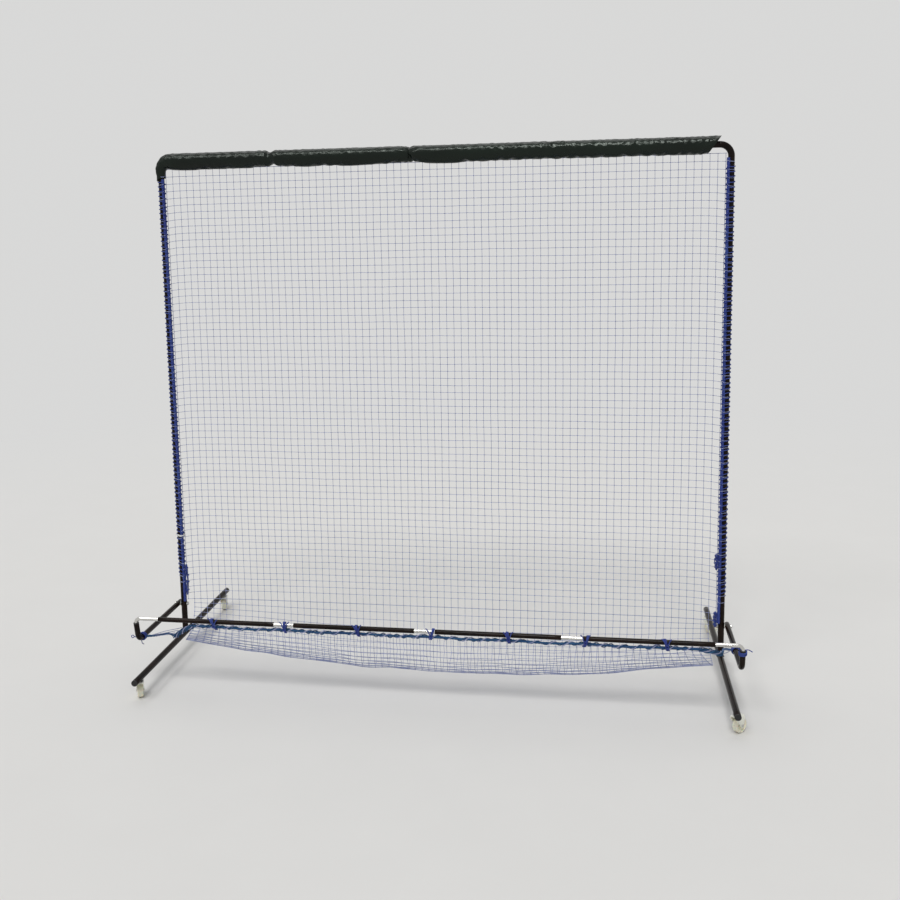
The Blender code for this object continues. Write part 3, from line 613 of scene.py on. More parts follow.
class Finish:
    """A node-based material: a shader whose sockets are fed by small groups of nodes."""

    def __init__(self, name):
        self.material = bpy.data.materials.new(f"{name}_finish")
        self.material.use_nodes = True
        self.tree = self.material.node_tree
        self.shader = self.tree.nodes["Principled BSDF"]
        self.place = self.node("ShaderNodeTexCoord").outputs["Object"]

    def node(self, kind, **values):
        made = self.tree.nodes.new(kind)
        for key, value in values.items():
            if hasattr(made, key):
                setattr(made, key, value)
            else:
                made.inputs[key.replace("_", " ")].default_value = value
        return made

    def link(self, output, target):
        self.tree.links.new(output, target)

    def stretched(self, scale, turn=(0, 0, 0)):
        mapping = self.node("ShaderNodeMapping")
        mapping.inputs["Scale"].default_value = scale
        mapping.inputs["Rotation"].default_value = turn
        self.link(self.place, mapping.inputs["Vector"])
        return mapping.outputs["Vector"]

    def noise(self, scale, detail=4.0, rough=0.55, place=None, bend=0.0):
        made = self.node("ShaderNodeTexNoise", Scale=scale, Detail=detail, Roughness=rough, Distortion=bend)
        self.link(place or self.place, made.inputs["Vector"])
        return made.outputs["Fac"]

    def cells(self, scale):
        made = self.node("ShaderNodeTexVoronoi", Scale=scale)
        self.link(self.place, made.inputs["Vector"])
        return made.outputs["Distance"]

    def wave(self, scale, bend):
        made = self.node("ShaderNodeTexWave", bands_direction="DIAGONAL", Scale=scale, Distortion=bend)
        self.link(self.place, made.inputs["Vector"])
        return made.outputs["Fac"]

    def spread(self, value, low, high, from_low=0.3, from_high=0.7):
        """Map a pattern's middle range onto low to high."""
        made = self.node("ShaderNodeMapRange", clamp=True)
        limits = (("From Min", from_low), ("From Max", from_high), ("To Min", low), ("To Max", high))
        for socket, number in limits:
            made.inputs[socket].default_value = number
        self.link(value, made.inputs["Value"])
        return made.outputs["Result"]

    def mix(self, factor, first, second):
        made = self.node("ShaderNodeMix", data_type="RGBA")
        self.link(factor, made.inputs["Factor"])
        colours = [socket for socket in made.inputs if socket.type == "RGBA"]
        for socket, value in zip(colours, (first, second)):
            if isinstance(value, bpy.types.NodeSocket):
                self.link(value, socket)
            else:
                socket.default_value = (*value, 1.0)
        return next(socket for socket in made.outputs if socket.type == "RGBA")

    def combine(self, first, second, operation="MULTIPLY"):
        made = self.node("ShaderNodeMath", operation=operation)
        for socket, value in zip(made.inputs, (first, second)):
            if isinstance(value, bpy.types.NodeSocket):
                self.link(value, socket)
            else:
                socket.default_value = value
        return made.outputs["Value"]

    def facing_up(self):
        """1 on faces that look up, where dust settles."""
        normal = self.node("ShaderNodeNewGeometry").outputs["Normal"]
        parts = self.node("ShaderNodeSeparateXYZ")
        self.link(normal, parts.inputs[0])
        return parts.outputs["Z"]

    def settled(self, most, scale, least, low, high):
        """Dust in patches on faces that look up, at most this much."""
        upwards = self.spread(self.facing_up(), 0, most, 0.55, 1.0)
        return self.combine(upwards, self.spread(self.noise(scale, 6), least, 1.0, low, high))

    def bump(self, height, distance, strength=1.0, over=None):
        made = self.node("ShaderNodeBump", Strength=strength, Distance=distance)
        self.link(height, made.inputs["Height"])
        if over is not None:
            self.link(over, made.inputs["Normal"])
        return made.outputs["Normal"]

    def done(self, base, rough, normal=None, **sockets):
        self.link(base, self.shader.inputs["Base Color"])
        self.link(rough, self.shader.inputs["Roughness"])
        if normal is not None:
            self.link(normal, self.shader.inputs["Normal"])
        for key, value in sockets.items():
            self.shader.inputs[key.replace("_", " ")].default_value = value
        return self.material


def scaled(tone, factor):
    return tuple(min(1.0, part * factor) for part in tone)


def mixed(tone, other, amount):
    return tuple(a * (1 - amount) + b * amount for a, b in zip(tone, other))


DUST = (0.30, 0.27, 0.23)


def make_black_paint(tone):
    """Gloss paint, faintly orange-peeled, dusty on top and rubbed in short scuffs."""
    f = Finish("black_paint")
    cloudy = f.spread(f.noise(14, 5), 0, 1)
    base = f.mix(cloudy, scaled(tone, 0.7), mixed(scaled(tone, 1.6), (0.030, 0.014, 0.008), 0.35))
    base = f.mix(f.settled(0.016, 60, 0.2, 0.35, 0.75), base, DUST)
    scuffs = f.spread(f.noise(70, 3, 0.6, f.stretched((1, 1, 0.25), (0.5, 0.3, 0.2))), 0, 0.16, 0.67, 0.75)
    base = f.mix(scuffs, base, (0.10, 0.085, 0.075))
    rough = f.combine(f.spread(f.noise(45, 5), 0.13, 0.24), f.combine(scuffs, 0.9), "ADD")
    peel = f.bump(f.noise(900, 2), 0.00008, 0.30)
    return f.done(base, rough, peel, Specular_IOR_Level=0.10)


def make_black_plastic(tone):
    """Moulded plastic with a fine spark-eroded grain."""
    f = Finish("black_plastic")
    base = f.mix(f.spread(f.noise(90, 4), 0, 1), scaled(tone, 0.8), scaled(tone, 1.6))
    base = f.mix(f.spread(f.facing_up(), 0, 0.08, 0.5, 1.0), base, DUST)
    grain = f.bump(f.noise(2600, 2), 0.00006, 0.5)
    return f.done(base, f.spread(f.noise(200, 3), 0.42, 0.58), grain, Specular_IOR_Level=0.35)


def make_vinyl(tone):
    """Coated vinyl: glossy with a fine leather grain, a green cast and fine stretch wrinkles."""
    f = Finish("black_vinyl")
    cloudy = f.spread(f.noise(9, 5, 0.6, f.stretched((0.35, 1, 1))), 0, 1)
    base = f.mix(cloudy, scaled(tone, 0.6), mixed(scaled(tone, 1.4), (0.007, 0.017, 0.010), 0.5))
    base = f.mix(f.settled(0.02, 35, 0.1, 0.35, 0.7), base, DUST)
    grain = f.bump(f.cells(1500), 0.00008, 0.20)
    stretch = f.noise(24, 4, 0.5, f.stretched((0.20, 1, 1), (0.25, 0.12, 0.0)), 0.4)
    pulls = f.bump(stretch, 0.0020, 0.55, grain)
    rough = f.spread(f.noise(30, 5), 0.19, 0.31)
    return f.done(base, rough, pulls, Specular_IOR_Level=0.24, Specular_Tint=(0.90, 1.0, 0.91, 1.0))


def make_bright_steel(tone):
    """Polished plated rod with faint draw lines and finger marks."""
    f = Finish("bright_steel")
    base = f.mix(f.spread(f.noise(22, 4), 0, 1), scaled(tone, 0.92), tone)
    base = f.mix(f.spread(f.noise(150, 5, 0.7), 0, 0.5, 0.68, 0.80), base, (0.42, 0.36, 0.28))
    smears = f.spread(f.noise(38, 5), 0.06, 0.17)
    lines = f.bump(f.noise(700, 2, 0.5, f.stretched((0.02, 1, 1))), 0.00003, 0.35)
    return f.done(base, smears, lines, Metallic=1.0)


def make_zinc(name, tone, rough_low, rough_high, metallic=1.0):
    """Plated steel with small spangles and dull patches."""
    f = Finish(name)
    base = f.mix(f.spread(f.cells(420), 0, 1, 0.1, 0.6), scaled(tone, 0.82), scaled(tone, 1.08))
    base = f.mix(f.spread(f.noise(130, 5), 0, 0.35, 0.60, 0.72), base, mixed(tone, (0.33, 0.28, 0.20), 0.6))
    grain = f.bump(f.noise(1400, 2), 0.00005, 0.4)
    return f.done(base, f.spread(f.noise(180, 4), rough_low, rough_high), grain, Metallic=metallic)


def make_nylon(name, tone, dirt):
    """Milky moulded nylon: a little light passes in, and dirt gathers in patches."""
    f = Finish(name)
    base = f.mix(f.spread(f.noise(55, 4), 0, 1), scaled(tone, 0.94), tone)
    marks = f.spread(f.noise(210, 6, 0.65), 0, dirt, 0.52, 0.74)
    base = f.mix(marks, base, (0.24, 0.20, 0.13))
    rough = f.spread(f.noise(120, 4), 0.34, 0.52)
    skin = f.bump(f.noise(700, 3), 0.00008, 0.35)
    return f.done(base, rough, skin, Subsurface_Weight=0.12, Subsurface_Scale=0.002)


def make_yarn(name, tone, pale, twist):
    """Twisted synthetic yarn: slanted plies with painted shade that darkens the grooves between them,
    bleached in patches.
    """
    fuzz = 1800.0
    f = Finish(name)
    plies = f.wave(twist, 0.6)
    bleached = f.combine(f.spread(f.noise(7, 4), 0, 1), f.spread(f.noise(55, 4), 0.2, 1))
    base = f.mix(bleached, tone, mixed(tone, pale, 0.55))
    # Painted shade: the ply pattern darkens the grooves, by up to 55 %, towards a third of the yarn's tone.
    base = f.mix(f.spread(plies, 0, 0.55, 0.1, 0.9), base, scaled(tone, 0.35))
    base = f.mix(f.spread(f.noise(fuzz, 2), 0, 0.25, 0.5, 0.8), base, pale)
    rounded = f.bump(plies, 0.0004, 0.6)
    hairs = f.bump(f.noise(fuzz, 2), 0.00012, 0.5, rounded)
    return f.done(base, f.spread(f.noise(160, 3), 0.62, 0.82), hairs, Specular_IOR_Level=0.3)


def make_floor(tone, behind, fade_from, fade_to):
    """Matt pale floor. The camera, mirrors and clear parts see it fade into the backdrop with distance."""
    f = Finish("pale_floor")
    base = f.mix(f.spread(f.noise(3, 3), 0, 1), scaled(tone, 0.985), tone)
    f.done(base, f.spread(f.noise(5, 3), 0.62, 0.72), None, Specular_IOR_Level=0.1)
    reach = f.node("ShaderNodeVectorMath", operation="LENGTH")
    f.link(f.place, reach.inputs[0])
    far = f.spread(reach.outputs["Value"], 0.0, 1.0, fade_from, fade_to)
    shown = f.combine(far, seen_directly(f.tree))
    glow = f.node("ShaderNodeEmission")
    glow.inputs["Color"].default_value = (*behind, 1)
    mix = f.node("ShaderNodeMixShader")
    f.link(shown, mix.inputs[0])
    f.link(f.shader.outputs[0], mix.inputs[1])
    f.link(glow.outputs[0], mix.inputs[2])
    f.link(mix.outputs[0], f.tree.nodes["Material Output"].inputs["Surface"])
    return f.material


def seen_directly(tree):
    """1 for rays from the camera, and for those that a mirror or a clear part sends on."""
    path = tree.nodes.new("ShaderNodeLightPath")
    total = path.outputs["Is Camera Ray"]
    for name in ("Is Glossy Ray", "Is Transmission Ray"):
        most = tree.nodes.new("ShaderNodeMath")
        most.operation = "MAXIMUM"
        tree.links.new(total, most.inputs[0])
        tree.links.new(path.outputs[name], most.inputs[1])
        total = most.outputs["Value"]
    return total


def finishes():
    """Every finish by its slot name, made once."""
    made = {name: bpy.data.materials.get(f"{name}_finish") for name in SLOT_MAKERS}
    tones = settings("net_colours")
    for name, maker in SLOT_MAKERS.items():
        if made[name] is None:
            made[name] = maker(tones)
    return made


SLOT_MAKERS = {
    "black_paint": lambda c: make_black_paint(tuple(c.paint)),
    "black_plastic": lambda c: make_black_plastic(tuple(c.plastic)),
    "black_vinyl": lambda c: make_vinyl(tuple(c.vinyl)),
    "bright_steel": lambda c: make_bright_steel(tuple(c.bright)),
    "zinc_plate": lambda c: make_zinc("zinc_plate", tuple(c.zinc), 0.28, 0.44),
    "pale_zinc_fork": lambda c: make_zinc("pale_zinc_fork", tuple(c.fork), 0.34, 0.5, 0.3),
    "white_nylon": lambda c: make_nylon("white_nylon", tuple(c.nylon), 0.15),
    "cream_nylon": lambda c: make_nylon("cream_nylon", tuple(c.wheel), 0.35),
    "net_cord": lambda c: make_yarn("net_cord", tuple(c.net), (0.62, 0.66, 0.84), 420),
    "blue_cord": lambda c: make_yarn("blue_cord", tuple(c.cord), (0.10, 0.20, 0.56), 260),
    "dark_blue_rope": lambda c: make_yarn("dark_blue_rope", tuple(c.rope), (0.07, 0.22, 0.40), 180),
    "white_tie": lambda c: make_yarn("white_tie", tuple(c.tag), (0.95, 0.95, 0.95), 300),
}


# Upright frame.


BEAD_POINTS = 72
BEAD_STANDOFF = 0.0006  # from the upright's wall to the middle of the bead
CAP_PLUG = 0.010  # how far an end cap enters its leg
CAP_FLANGE = 0.003  # how much of the cap stays outside
CORNER_PLUG = 0.012  # how far a swaged end enters its tube


def weld_bead(name, side):
    """A rippled bead round the foot of an upright, lying on the leg."""
    reach = FRAME_RADIUS + BEAD_STANDOFF
    flank = FRAME_RADIUS**2 * 0.97
    points = []
    for i in range(BEAD_POINTS + 1):
        angle = 2 * math.pi * i / BEAD_POINTS
        across = reach * math.cos(angle)
        height = math.sqrt(max(0.0, FRAME_RADIUS**2 - min(across**2, flank)))
        points.append(Vector((side * POST_X + across, reach * math.sin(angle), LEG_HEIGHT + height + 0.0008)))

    def swell(t):
        ripple = 0.16 * math.sin(t * BEAD_POINTS * 2.2)
        return 1.0 + ripple + 0.1 * noise.noise(Vector((t * 20, side, 0)))

    return plain_cord(name, points, settings("net_tubes").bead, 8, swell)


def leg_piece(side, name):
    """Floor leg: one straight tube from front to back, with the weld bead round the upright's foot."""
    tubes = settings("net_tubes")
    low, high = box(name)
    turning = Turning(name, (side * POST_X, low.y, LEG_HEIGHT), BACK, FRAME_RADIUS)
    tube = tube_wall(turning.draw(high.y - low.y, 24).done(), tubes.wall, tubes.rim)
    return join([tube, weld_bead(f"{name}_bead", side)], name.replace("leg", "floor_leg"))


def leg_cap(side, end, node, name):
    """Plastic plug that closes a leg's end, with a flange as wide as the tube."""
    low, high = box(node)
    face = high.y if end > 0 else low.y
    seat = end * (abs(face) - CAP_FLANGE)
    start = (side * POST_X, seat - end * CAP_PLUG, LEG_HEIGHT)
    turning = Turning(name, start, (0, end, 0), FRAME_RADIUS - 0.0016)
    flange = [(FRAME_RADIUS, 0.0), (FRAME_RADIUS, 0.0017), (FRAME_RADIUS - 0.0004, 0.0005)]
    flange.append((FRAME_RADIUS - 0.0012, 0.0003))
    turning.draw(CAP_PLUG).rim(flange).dome(0.0005)
    return shade(close_holes(turning.done()), 40)


class BALLNET_OT_add_legs(bpy.types.Operator):
    """Add the two floor legs with their end caps"""

    bl_idname = "ballnet.add_legs"
    bl_label = "Floor legs"

    def execute(self, context):
        finish = finishes()
        for side, side_name in SIDES:
            leg = leg_piece(side, f"leg_{side_name}")
            finish_piece(leg, finish["black_paint"], "frame", "black_paint", f"leg_{side_name}")
            for end, end_name in ENDS:
                node = f"leg_cap_{end_name}_{side_name}"
                cap = leg_cap(side, end, node, f"end_{end_name}_{side_name}")
                finish_piece(cap, finish["black_plastic"], "frame", "black_plastic", node)
        return {"FINISHED"}


def upright_piece(side, name, node):
    """Upright tube, its foot cut to lie on the round leg."""
    tubes = settings("net_tubes")
    low, high = box(node)
    x = side * POST_X
    post = Turning(name, (x, 0, low.z), UP, FRAME_RADIUS).draw(high.z - low.z, 60).done()
    for vertex in post.data.vertices:
        if vertex.co.z < low.z + 1e-5:
            across = min(abs(vertex.co.x - x), FRAME_RADIUS)
            vertex.co.z = LEG_HEIGHT + math.sqrt(FRAME_RADIUS**2 - across**2) + SMALL
    return tube_wall(post, tubes.wall, tubes.rim)


def corner_piece(side, name, foot):
    """Bent top corner, both ends swaged down to enter the upright and the top bar."""
    tubes = settings("net_tubes")
    swaged = FRAME_RADIUS - tubes.wall - SMALL
    turning = Turning(name, Vector((side * POST_X, 0, foot - CORNER_PLUG)), UP, swaged)
    turning.draw(CORNER_PLUG + SMALL).rim([(FRAME_RADIUS, 0.0), (FRAME_RADIUS, tubes.corner_collar)])
    turning.bend((-side, 0, 0), math.pi / 2, tubes.corner_bend, 14)
    turning.draw(tubes.corner_collar).rim([(swaged, 0.0)]).draw(CORNER_PLUG)
    return tube_wall(turning.done(), tubes.wall * 0.8, tubes.rim)


class BALLNET_OT_add_uprights(bpy.types.Operator):
    """Add the two uprights, the bent top corners and the hidden top bar"""

    bl_idname = "ballnet.add_uprights"
    bl_label = "Uprights and corners"

    def execute(self, context):
        tubes = settings("net_tubes")
        paint = finishes()["black_paint"]
        for side, side_name in SIDES:
            node = f"upright_{side_name}"
            post = upright_piece(side, f"post_{side_name}", node)
            finish_piece(post, paint, "frame", "black_paint", node)
            corner = corner_piece(side, f"top_corner_{side_name}", box(node)[1].z)
            finish_piece(corner, paint, "frame", "black_paint", f"corner_elbow_{side_name}")
        low, high = box("top_bar")
        turning = Turning("bar_under_sleeve", (low.x, 0, BAR_HEIGHT), RIGHT, FRAME_RADIUS)
        bar = tube_wall(turning.draw(high.x - low.x, 40).done(), tubes.wall, tubes.rim)
        finish_piece(bar, paint, "frame", "black_paint", "top_bar")
        return {"FINISHED"}


# Padded sleeve.


CREASES = ((0.420, 1.0), (0.925, 0.6))  # how far from the left upright two foam cores meet, and how deeply
CREASE_SLANT = 0.009
END_LENGTH = 0.14  # over which the right end is cut back
FLAP_START = 0.05  # from the left upright to the closing flap
FLAP_MIDDLE = 2.25  # its angle round the sleeve, where 0 is the front and pi / 2 the top
FLAP_SEAM = 2.6  # the angle at which it is stitched
BROAD_WAVE, SHORT_WAVE = 0.0009, 0.0007  # unevenness of the vinyl before it settles


def sleeve_line(step):
    """(centre, heading) of each ring, from the left upright round the corner to the right end."""
    sizes = settings("net_sleeve")
    bend = settings("net_tubes").corner_bend
    foot, start = BAR_HEIGHT - sizes.drop, BAR_HEIGHT - bend
    line = []
    count_foot = max(3, round((start - foot) / step))
    for i in range(count_foot):
        line.append((Vector((-POST_X, 0, foot + (start - foot) * i / count_foot)), UP))
    count_bend = max(6, round(bend * math.pi / 2 / step * 1.3))
    for i in range(count_bend):
        angle = math.pi / 2 * i / count_bend
        centre = Vector((-POST_X + bend * (1 - math.cos(angle)), 0, start + bend * math.sin(angle)))
        line.append((centre, Vector((math.sin(angle), 0, math.cos(angle)))))
    first, last = -POST_X + bend, box("top_pad")[1].x + sizes.overreach
    count_bar = round((last - first) / step)
    for i in range(count_bar + 1):
        line.append((Vector((first + (last - first) * i / count_bar, 0, BAR_HEIGHT)), RIGHT))
    return line


def pinch(x, angle):
    """1 in the middle of the first crease, less in the second; both run slanting round the sleeve."""
    width = settings("net_sleeve").crease_width
    slant = x + POST_X + CREASE_SLANT * math.sin(angle + 0.8)
    return sum(depth * math.exp(-(((slant - place) / width) ** 2)) for place, depth in CREASES)


def sleeve_skin(name, sides, step, offset, relief):
    """A sleeve of rings: its nominal surface moved out by offset and by relief(x, angle)."""
    sizes = settings("net_sleeve")
    line = sleeve_line(step)
    last = line[-1][0].x
    bpy.ops.object.select_all(action="DESELECT")
    bpy.ops.mesh.primitive_grid_add(x_subdivisions=sides, y_subdivisions=len(line) - 1, size=1)
    skin = settle(bpy.context.object, name)
    run, radii = 0.0, []
    for i, (centre, _) in enumerate(line):
        run += (centre - line[i - 1][0]).length if i else 0.0
        grown = min(1.0, run / sizes.swell)
        radii.append(sizes.foot_radius + (sizes.radius - sizes.foot_radius) * grown * grown * (3 - 2 * grown))
    for vertex in skin.data.vertices:
        angle = 2 * math.pi * (round((vertex.co.x + 0.5) * sides) % sides) / sides
        row = round((vertex.co.y + 0.5) * (len(line) - 1))
        centre, heading = line[row]
        outward = heading.cross(BACK).normalized() * math.sin(angle) - BACK * math.cos(angle)
        place = centre + outward * (radii[row] + offset + relief(centre.x, angle))
        cut = max(0.0, 1 - (last - centre.x) / END_LENGTH)
        place.x -= sizes.end_slant * cut**1.5 * (1 - math.sin(angle)) / 2
        if heading == UP:
            place.z -= 0.010 * max(0.0, -outward.x) * max(0.0, 1 - row / 4)
        vertex.co = place
    return face_outwards(skin, 1e-5)


def foam_relief(x, angle):
    """Foam pipe insulation, cut into lengths that meet at the creases."""
    return -settings("net_sleeve").crease * 1.1 * pinch(x, angle)


def vinyl_relief(x, angle):
    """The vinyl as it is laid over the foam, before it settles."""
    sizes = settings("net_sleeve")
    around = (math.cos(angle), math.sin(angle))
    broad = noise.noise(Vector((x * 9, around[0] * 1.3, around[1] * 1.3)))
    short = noise.noise(Vector((x * 30, around[0] * 2.2, around[1] * 2.2)))
    return -sizes.crease * pinch(x, angle) + BROAD_WAVE * broad + SHORT_WAVE * short


class BALLNET_OT_add_sleeve(bpy.types.Operator):
    """Add the padded vinyl sleeve: cloth settled over foam, held at its flap, its ends and its creases"""

    bl_idname = "ballnet.add_sleeve"
    bl_label = "Padded sleeve"

    def execute(self, context):
        sizes = settings("net_sleeve")
        foam = sleeve_skin("foam", 24, 0.010, -sizes.foam, foam_relief)
        sleeve = sleeve_skin("padded_sleeve", 36, sizes.step, 0.0006, vinyl_relief)
        self.hold(sleeve)
        self.let_settle(context.scene, foam, sleeve)
        sleeve.vertex_groups.clear()
        bpy.data.objects.remove(foam)
        apply_modifier(sleeve, "SUBSURF", levels=1, render_levels=1)
        self.lap(sleeve)
        apply_modifier(sleeve, "SOLIDIFY", thickness=sizes.thickness, offset=-1.0)
        shade(sleeve, 50)
        finish_piece(sleeve, finishes()["black_vinyl"], "frame", "black_vinyl", "top_pad")
        return {"FINISHED"}

    def angle_round(self, place):
        return math.atan2(place.z - BAR_HEIGHT, -place.y)

    def hold(self, sleeve):
        """Group of points that can't move while the vinyl settles."""
        sizes = settings("net_sleeve")
        last = box("top_pad")[1].x + sizes.overreach
        held = sleeve.vertex_groups.new(name="held")
        for vertex in sleeve.data.vertices:
            x, angle = vertex.co.x, self.angle_round(vertex.co)
            at_end = vertex.co.z < BAR_HEIGHT - sizes.drop + 0.004
            at_end = at_end or x > last - 0.006 - sizes.end_slant * (1 - math.sin(angle)) / 2
            at_flap = x > -POST_X + FLAP_START and abs(angle - FLAP_SEAM) < 0.10
            if at_end or pinch(x, angle) > 0.80:
                held.add([vertex.index], 1.0, "REPLACE")
            elif at_flap:
                held.add([vertex.index], 0.8, "REPLACE")

    def let_settle(self, scene, foam, sleeve):
        """Cloth simulation: the slack vinyl is blown out a little and wrinkles over the foam."""
        sizes = settings("net_sleeve")
        foam.modifiers.new("foam", "COLLISION")
        foam.collision.thickness_outer = 0.0008
        foam.collision.cloth_friction = 15
        cloth = sleeve.modifiers.new("cloth", "CLOTH")
        vinyl = cloth.settings
        vinyl.quality = 5
        vinyl.mass = 0.25
        vinyl.air_damping = 3
        vinyl.tension_stiffness = 25
        vinyl.compression_stiffness = 12
        vinyl.shear_stiffness = 8
        vinyl.bending_stiffness = 0.25
        vinyl.bending_damping = 0.8
        vinyl.vertex_group_mass = "held"
        vinyl.pin_stiffness = 1
        vinyl.shrink_min = -sizes.slack
        vinyl.shrink_max = -sizes.slack
        vinyl.use_pressure = True
        vinyl.uniform_pressure_force = 0.25
        cloth.collision_settings.distance_min = 0.0010
        cloth.collision_settings.use_self_collision = False
        cloth.point_cache.frame_end = 40
        for step in range(1, 31):
            scene.frame_set(step)
        select_only(sleeve)
        bpy.ops.object.modifier_apply(modifier="cloth")
        scene.frame_set(1)

    def lap(self, sleeve):
        """Raise the flap that laps over the sleeve's upper back and closes it."""
        sizes = settings("net_sleeve")
        half = sizes.flap / sizes.radius / 2
        for vertex in sleeve.data.vertices:
            away = abs(self.angle_round(vertex.co) - FLAP_MIDDLE)
            if vertex.co.x > -POST_X + FLAP_START and away < half:
                outward = Vector((0, vertex.co.y, vertex.co.z - BAR_HEIGHT)).normalized()
                vertex.co += outward * 0.0013


# Netting.


def netting(name, columns, rows, where, strand, knot):
    """A net: a grid laid out by where(u, v), each edge made a strand and each crossing a knot.

    One knot is modelled. Its copies, thousands of them, are made in arrays, because an operator
    for each would take many minutes.
    """
    bpy.ops.object.select_all(action="DESELECT")
    bpy.ops.mesh.primitive_grid_add(x_subdivisions=columns, y_subdivisions=rows, size=1)
    net = settle(bpy.context.object, name)
    for vertex in net.data.vertices:
        vertex.co = where(vertex.co.x + 0.5, vertex.co.y + 0.5)
    places = np.array([tuple(vertex.co) for vertex in net.data.vertices])
    apply_modifier(
        net, "WIREFRAME", thickness=strand, use_even_offset=False, use_boundary=True, use_replace=True
    )
    bpy.ops.mesh.primitive_ico_sphere_add(subdivisions=1, radius=knot)
    bpy.ops.object.mode_set(mode="EDIT")
    bpy.ops.mesh.select_all(action="SELECT")
    bpy.ops.transform.resize(value=(2.2, 0.85, 0.9))
    bpy.ops.object.mode_set(mode="OBJECT")
    pattern = settle(bpy.context.object, "pattern")
    points = np.array([tuple(vertex.co) for vertex in pattern.data.vertices])
    faces = np.array([tuple(face.vertices) for face in pattern.data.polygons])
    bpy.data.objects.remove(pattern)
    all_points = (places[:, None, :] + points[None, :, :]).reshape(-1, 3)
    shifts = np.arange(len(places)) * len(points)
    all_faces = (faces[None, :, :] + shifts[:, None, None]).reshape(-1, 3)
    mesh = bpy.data.meshes.new(f"{name}_knots")
    mesh.from_pydata(all_points.tolist(), [], all_faces.tolist())
    knots = bpy.data.objects.new(f"{name}_knots", mesh)
    bpy.context.scene.collection.objects.link(knots)
    return shade(join([net, knots], name), 60)


DROOP_HEIGHT = 0.16  # share of the panel's height over which the droop fades
DROOP_WIDTH = 0.09  # from an upright to where the lowest rows have risen again
TUG, TUG_WIDTH = 0.007, 0.035  # how far the rows are pulled down at the lacing, and how far in that reaches
FLARE_WIDTH = 0.05  # share of the pocket's width
SWING = 0.009  # unevenness of the pocket's rows


def panel_point(u, v):
    """The upright panel: billowing a little, its lowest rows pulled down beside the uprights."""
    sizes = settings("net_netting")
    low, high = box("net_panel")
    x = low.x + (high.x - low.x) * u
    z = low.z + (high.z - low.z) * v
    inside = min(1.0, 8 * u * (1 - u)) * min(1.0, 8 * v * (1 - v))
    edge = min(u, 1 - u) * (high.x - low.x)
    y = sizes.billow * inside * noise.noise(Vector((u * 2.3, v * 2.1, 1.7)))
    y += 0.0012 * inside * noise.noise(Vector((u * 40, v * 40, 5)))
    wave = noise.noise(Vector((u * 5, v * 9, 9))) + 0.55 * noise.noise(Vector((u * 26, v * 30, 3)))
    low_down = math.exp(-v / DROOP_HEIGHT)
    arch = 0.62 * low_down * sizes.droop * (1 - math.exp(-edge / DROOP_WIDTH)) * min(1.0, v * 40 + 0.4)
    tugged = TUG * math.exp(-edge / TUG_WIDTH) * min(1.0, 10 * v * (1 - v))
    z += sizes.sag * inside * wave - tugged + arch * (1 - 0.25 * math.exp(-edge / 0.5))
    x += sizes.sag * 0.7 * inside * noise.noise(Vector((u * 24, v * 12, 13)))
    return Vector((x, y, z))


def pocket_columns():
    """First and last of the panel's columns that the pocket carries on."""
    mesh = settings("net_netting").mesh
    low, high = box("net_panel")
    pitch = (high.x - low.x) / round((high.x - low.x) / mesh)
    first, last = ((corner.x - low.x) / pitch for corner in box("net_pocket"))
    return math.ceil(first - 0.3), math.floor(last + 0.3)


def pocket_sag(v):
    """Share of the full depth at v: 0 at both edges, 1 in the middle."""
    return (4 * v * (1 - v)) ** settings("net_netting").pocket_fullness if 0 < v < 1 else 0.0


@functools.cache
def pocket_rows():
    """v of each row of the pocket: its rows are one mesh apart along its middle."""
    sizes = settings("net_netting")
    foot = box("net_panel")[0].z
    marks = np.linspace(0, 1, 1201)
    depth = sizes.pocket_depth * 0.9
    profile = [(RAIL.y * v, foot * (1 - v) + ROPE_HEIGHT * v - depth * pocket_sag(v)) for v in marks]
    run = np.concatenate([[0], np.cumsum(np.hypot(*np.diff(np.array(profile), axis=0).T))])
    rows = round(run[-1] / sizes.mesh)
    return tuple(float(v) for v in np.interp(np.linspace(0, run[-1], rows + 1), run, marks))


def pocket_point(u, share_of_rows):
    """Trough between the foot of the panel, v = 0, and the border rope, v = 1."""
    sizes = settings("net_netting")
    rows = pocket_rows()
    v = rows[round(share_of_rows * (len(rows) - 1))]
    left, right = pocket_range()
    first, last = pocket_columns()
    low, high = box("net_panel")
    panel_u = (first + (last - first) * u) / round((high.x - low.x) / sizes.mesh)
    foot = panel_point(panel_u, 0.0)
    front = left + (right - left) * u
    across = 2 * u - 1
    depth = sizes.pocket_end_depth + (sizes.pocket_depth - sizes.pocket_end_depth) * (1 - across * across)
    line = foot.z * (1 - v) + (ROPE_HEIGHT - 0.0050) * v
    inside = min(1.0, 6 * v * (1 - v)) * min(1.0, 0.3 + 6 * u * (1 - u))
    swing = noise.noise(Vector((u * 6, v * 2.5, 21))) + 0.5 * noise.noise(Vector((u * 19, v * 7, 8)))
    y = foot.y * (1 - v) + RAIL.y * v + 0.010 * inside * noise.noise(Vector((u * 9, v * 4, 31)))
    z = line - depth * pocket_sag(v) + SWING * inside * swing
    x = foot.x + (front - foot.x) * v + 0.004 * inside * noise.noise(Vector((u * 20, v * 20, 2)))
    flare = math.exp((u - 1) / FLARE_WIDTH) - math.exp(-u / FLARE_WIDTH)
    x += sizes.pocket_flare * v * pocket_sag(v) * flare
    return Vector((x, y, z))


@functools.cache
def pocket_range():
    """X of the pocket's two front corners, where the border rope leaves the rail."""
    rope = frame["nodes"]["front_rope"].data.vertices
    lowest = RAIL.z - RAIL_RADIUS - ROPE_DROP - SMALL
    under_rail = [v.co.x for v in rope if abs(v.co.y - RAIL.y) < 0.0045 and v.co.z > lowest]
    return min(under_rail), max(under_rail)


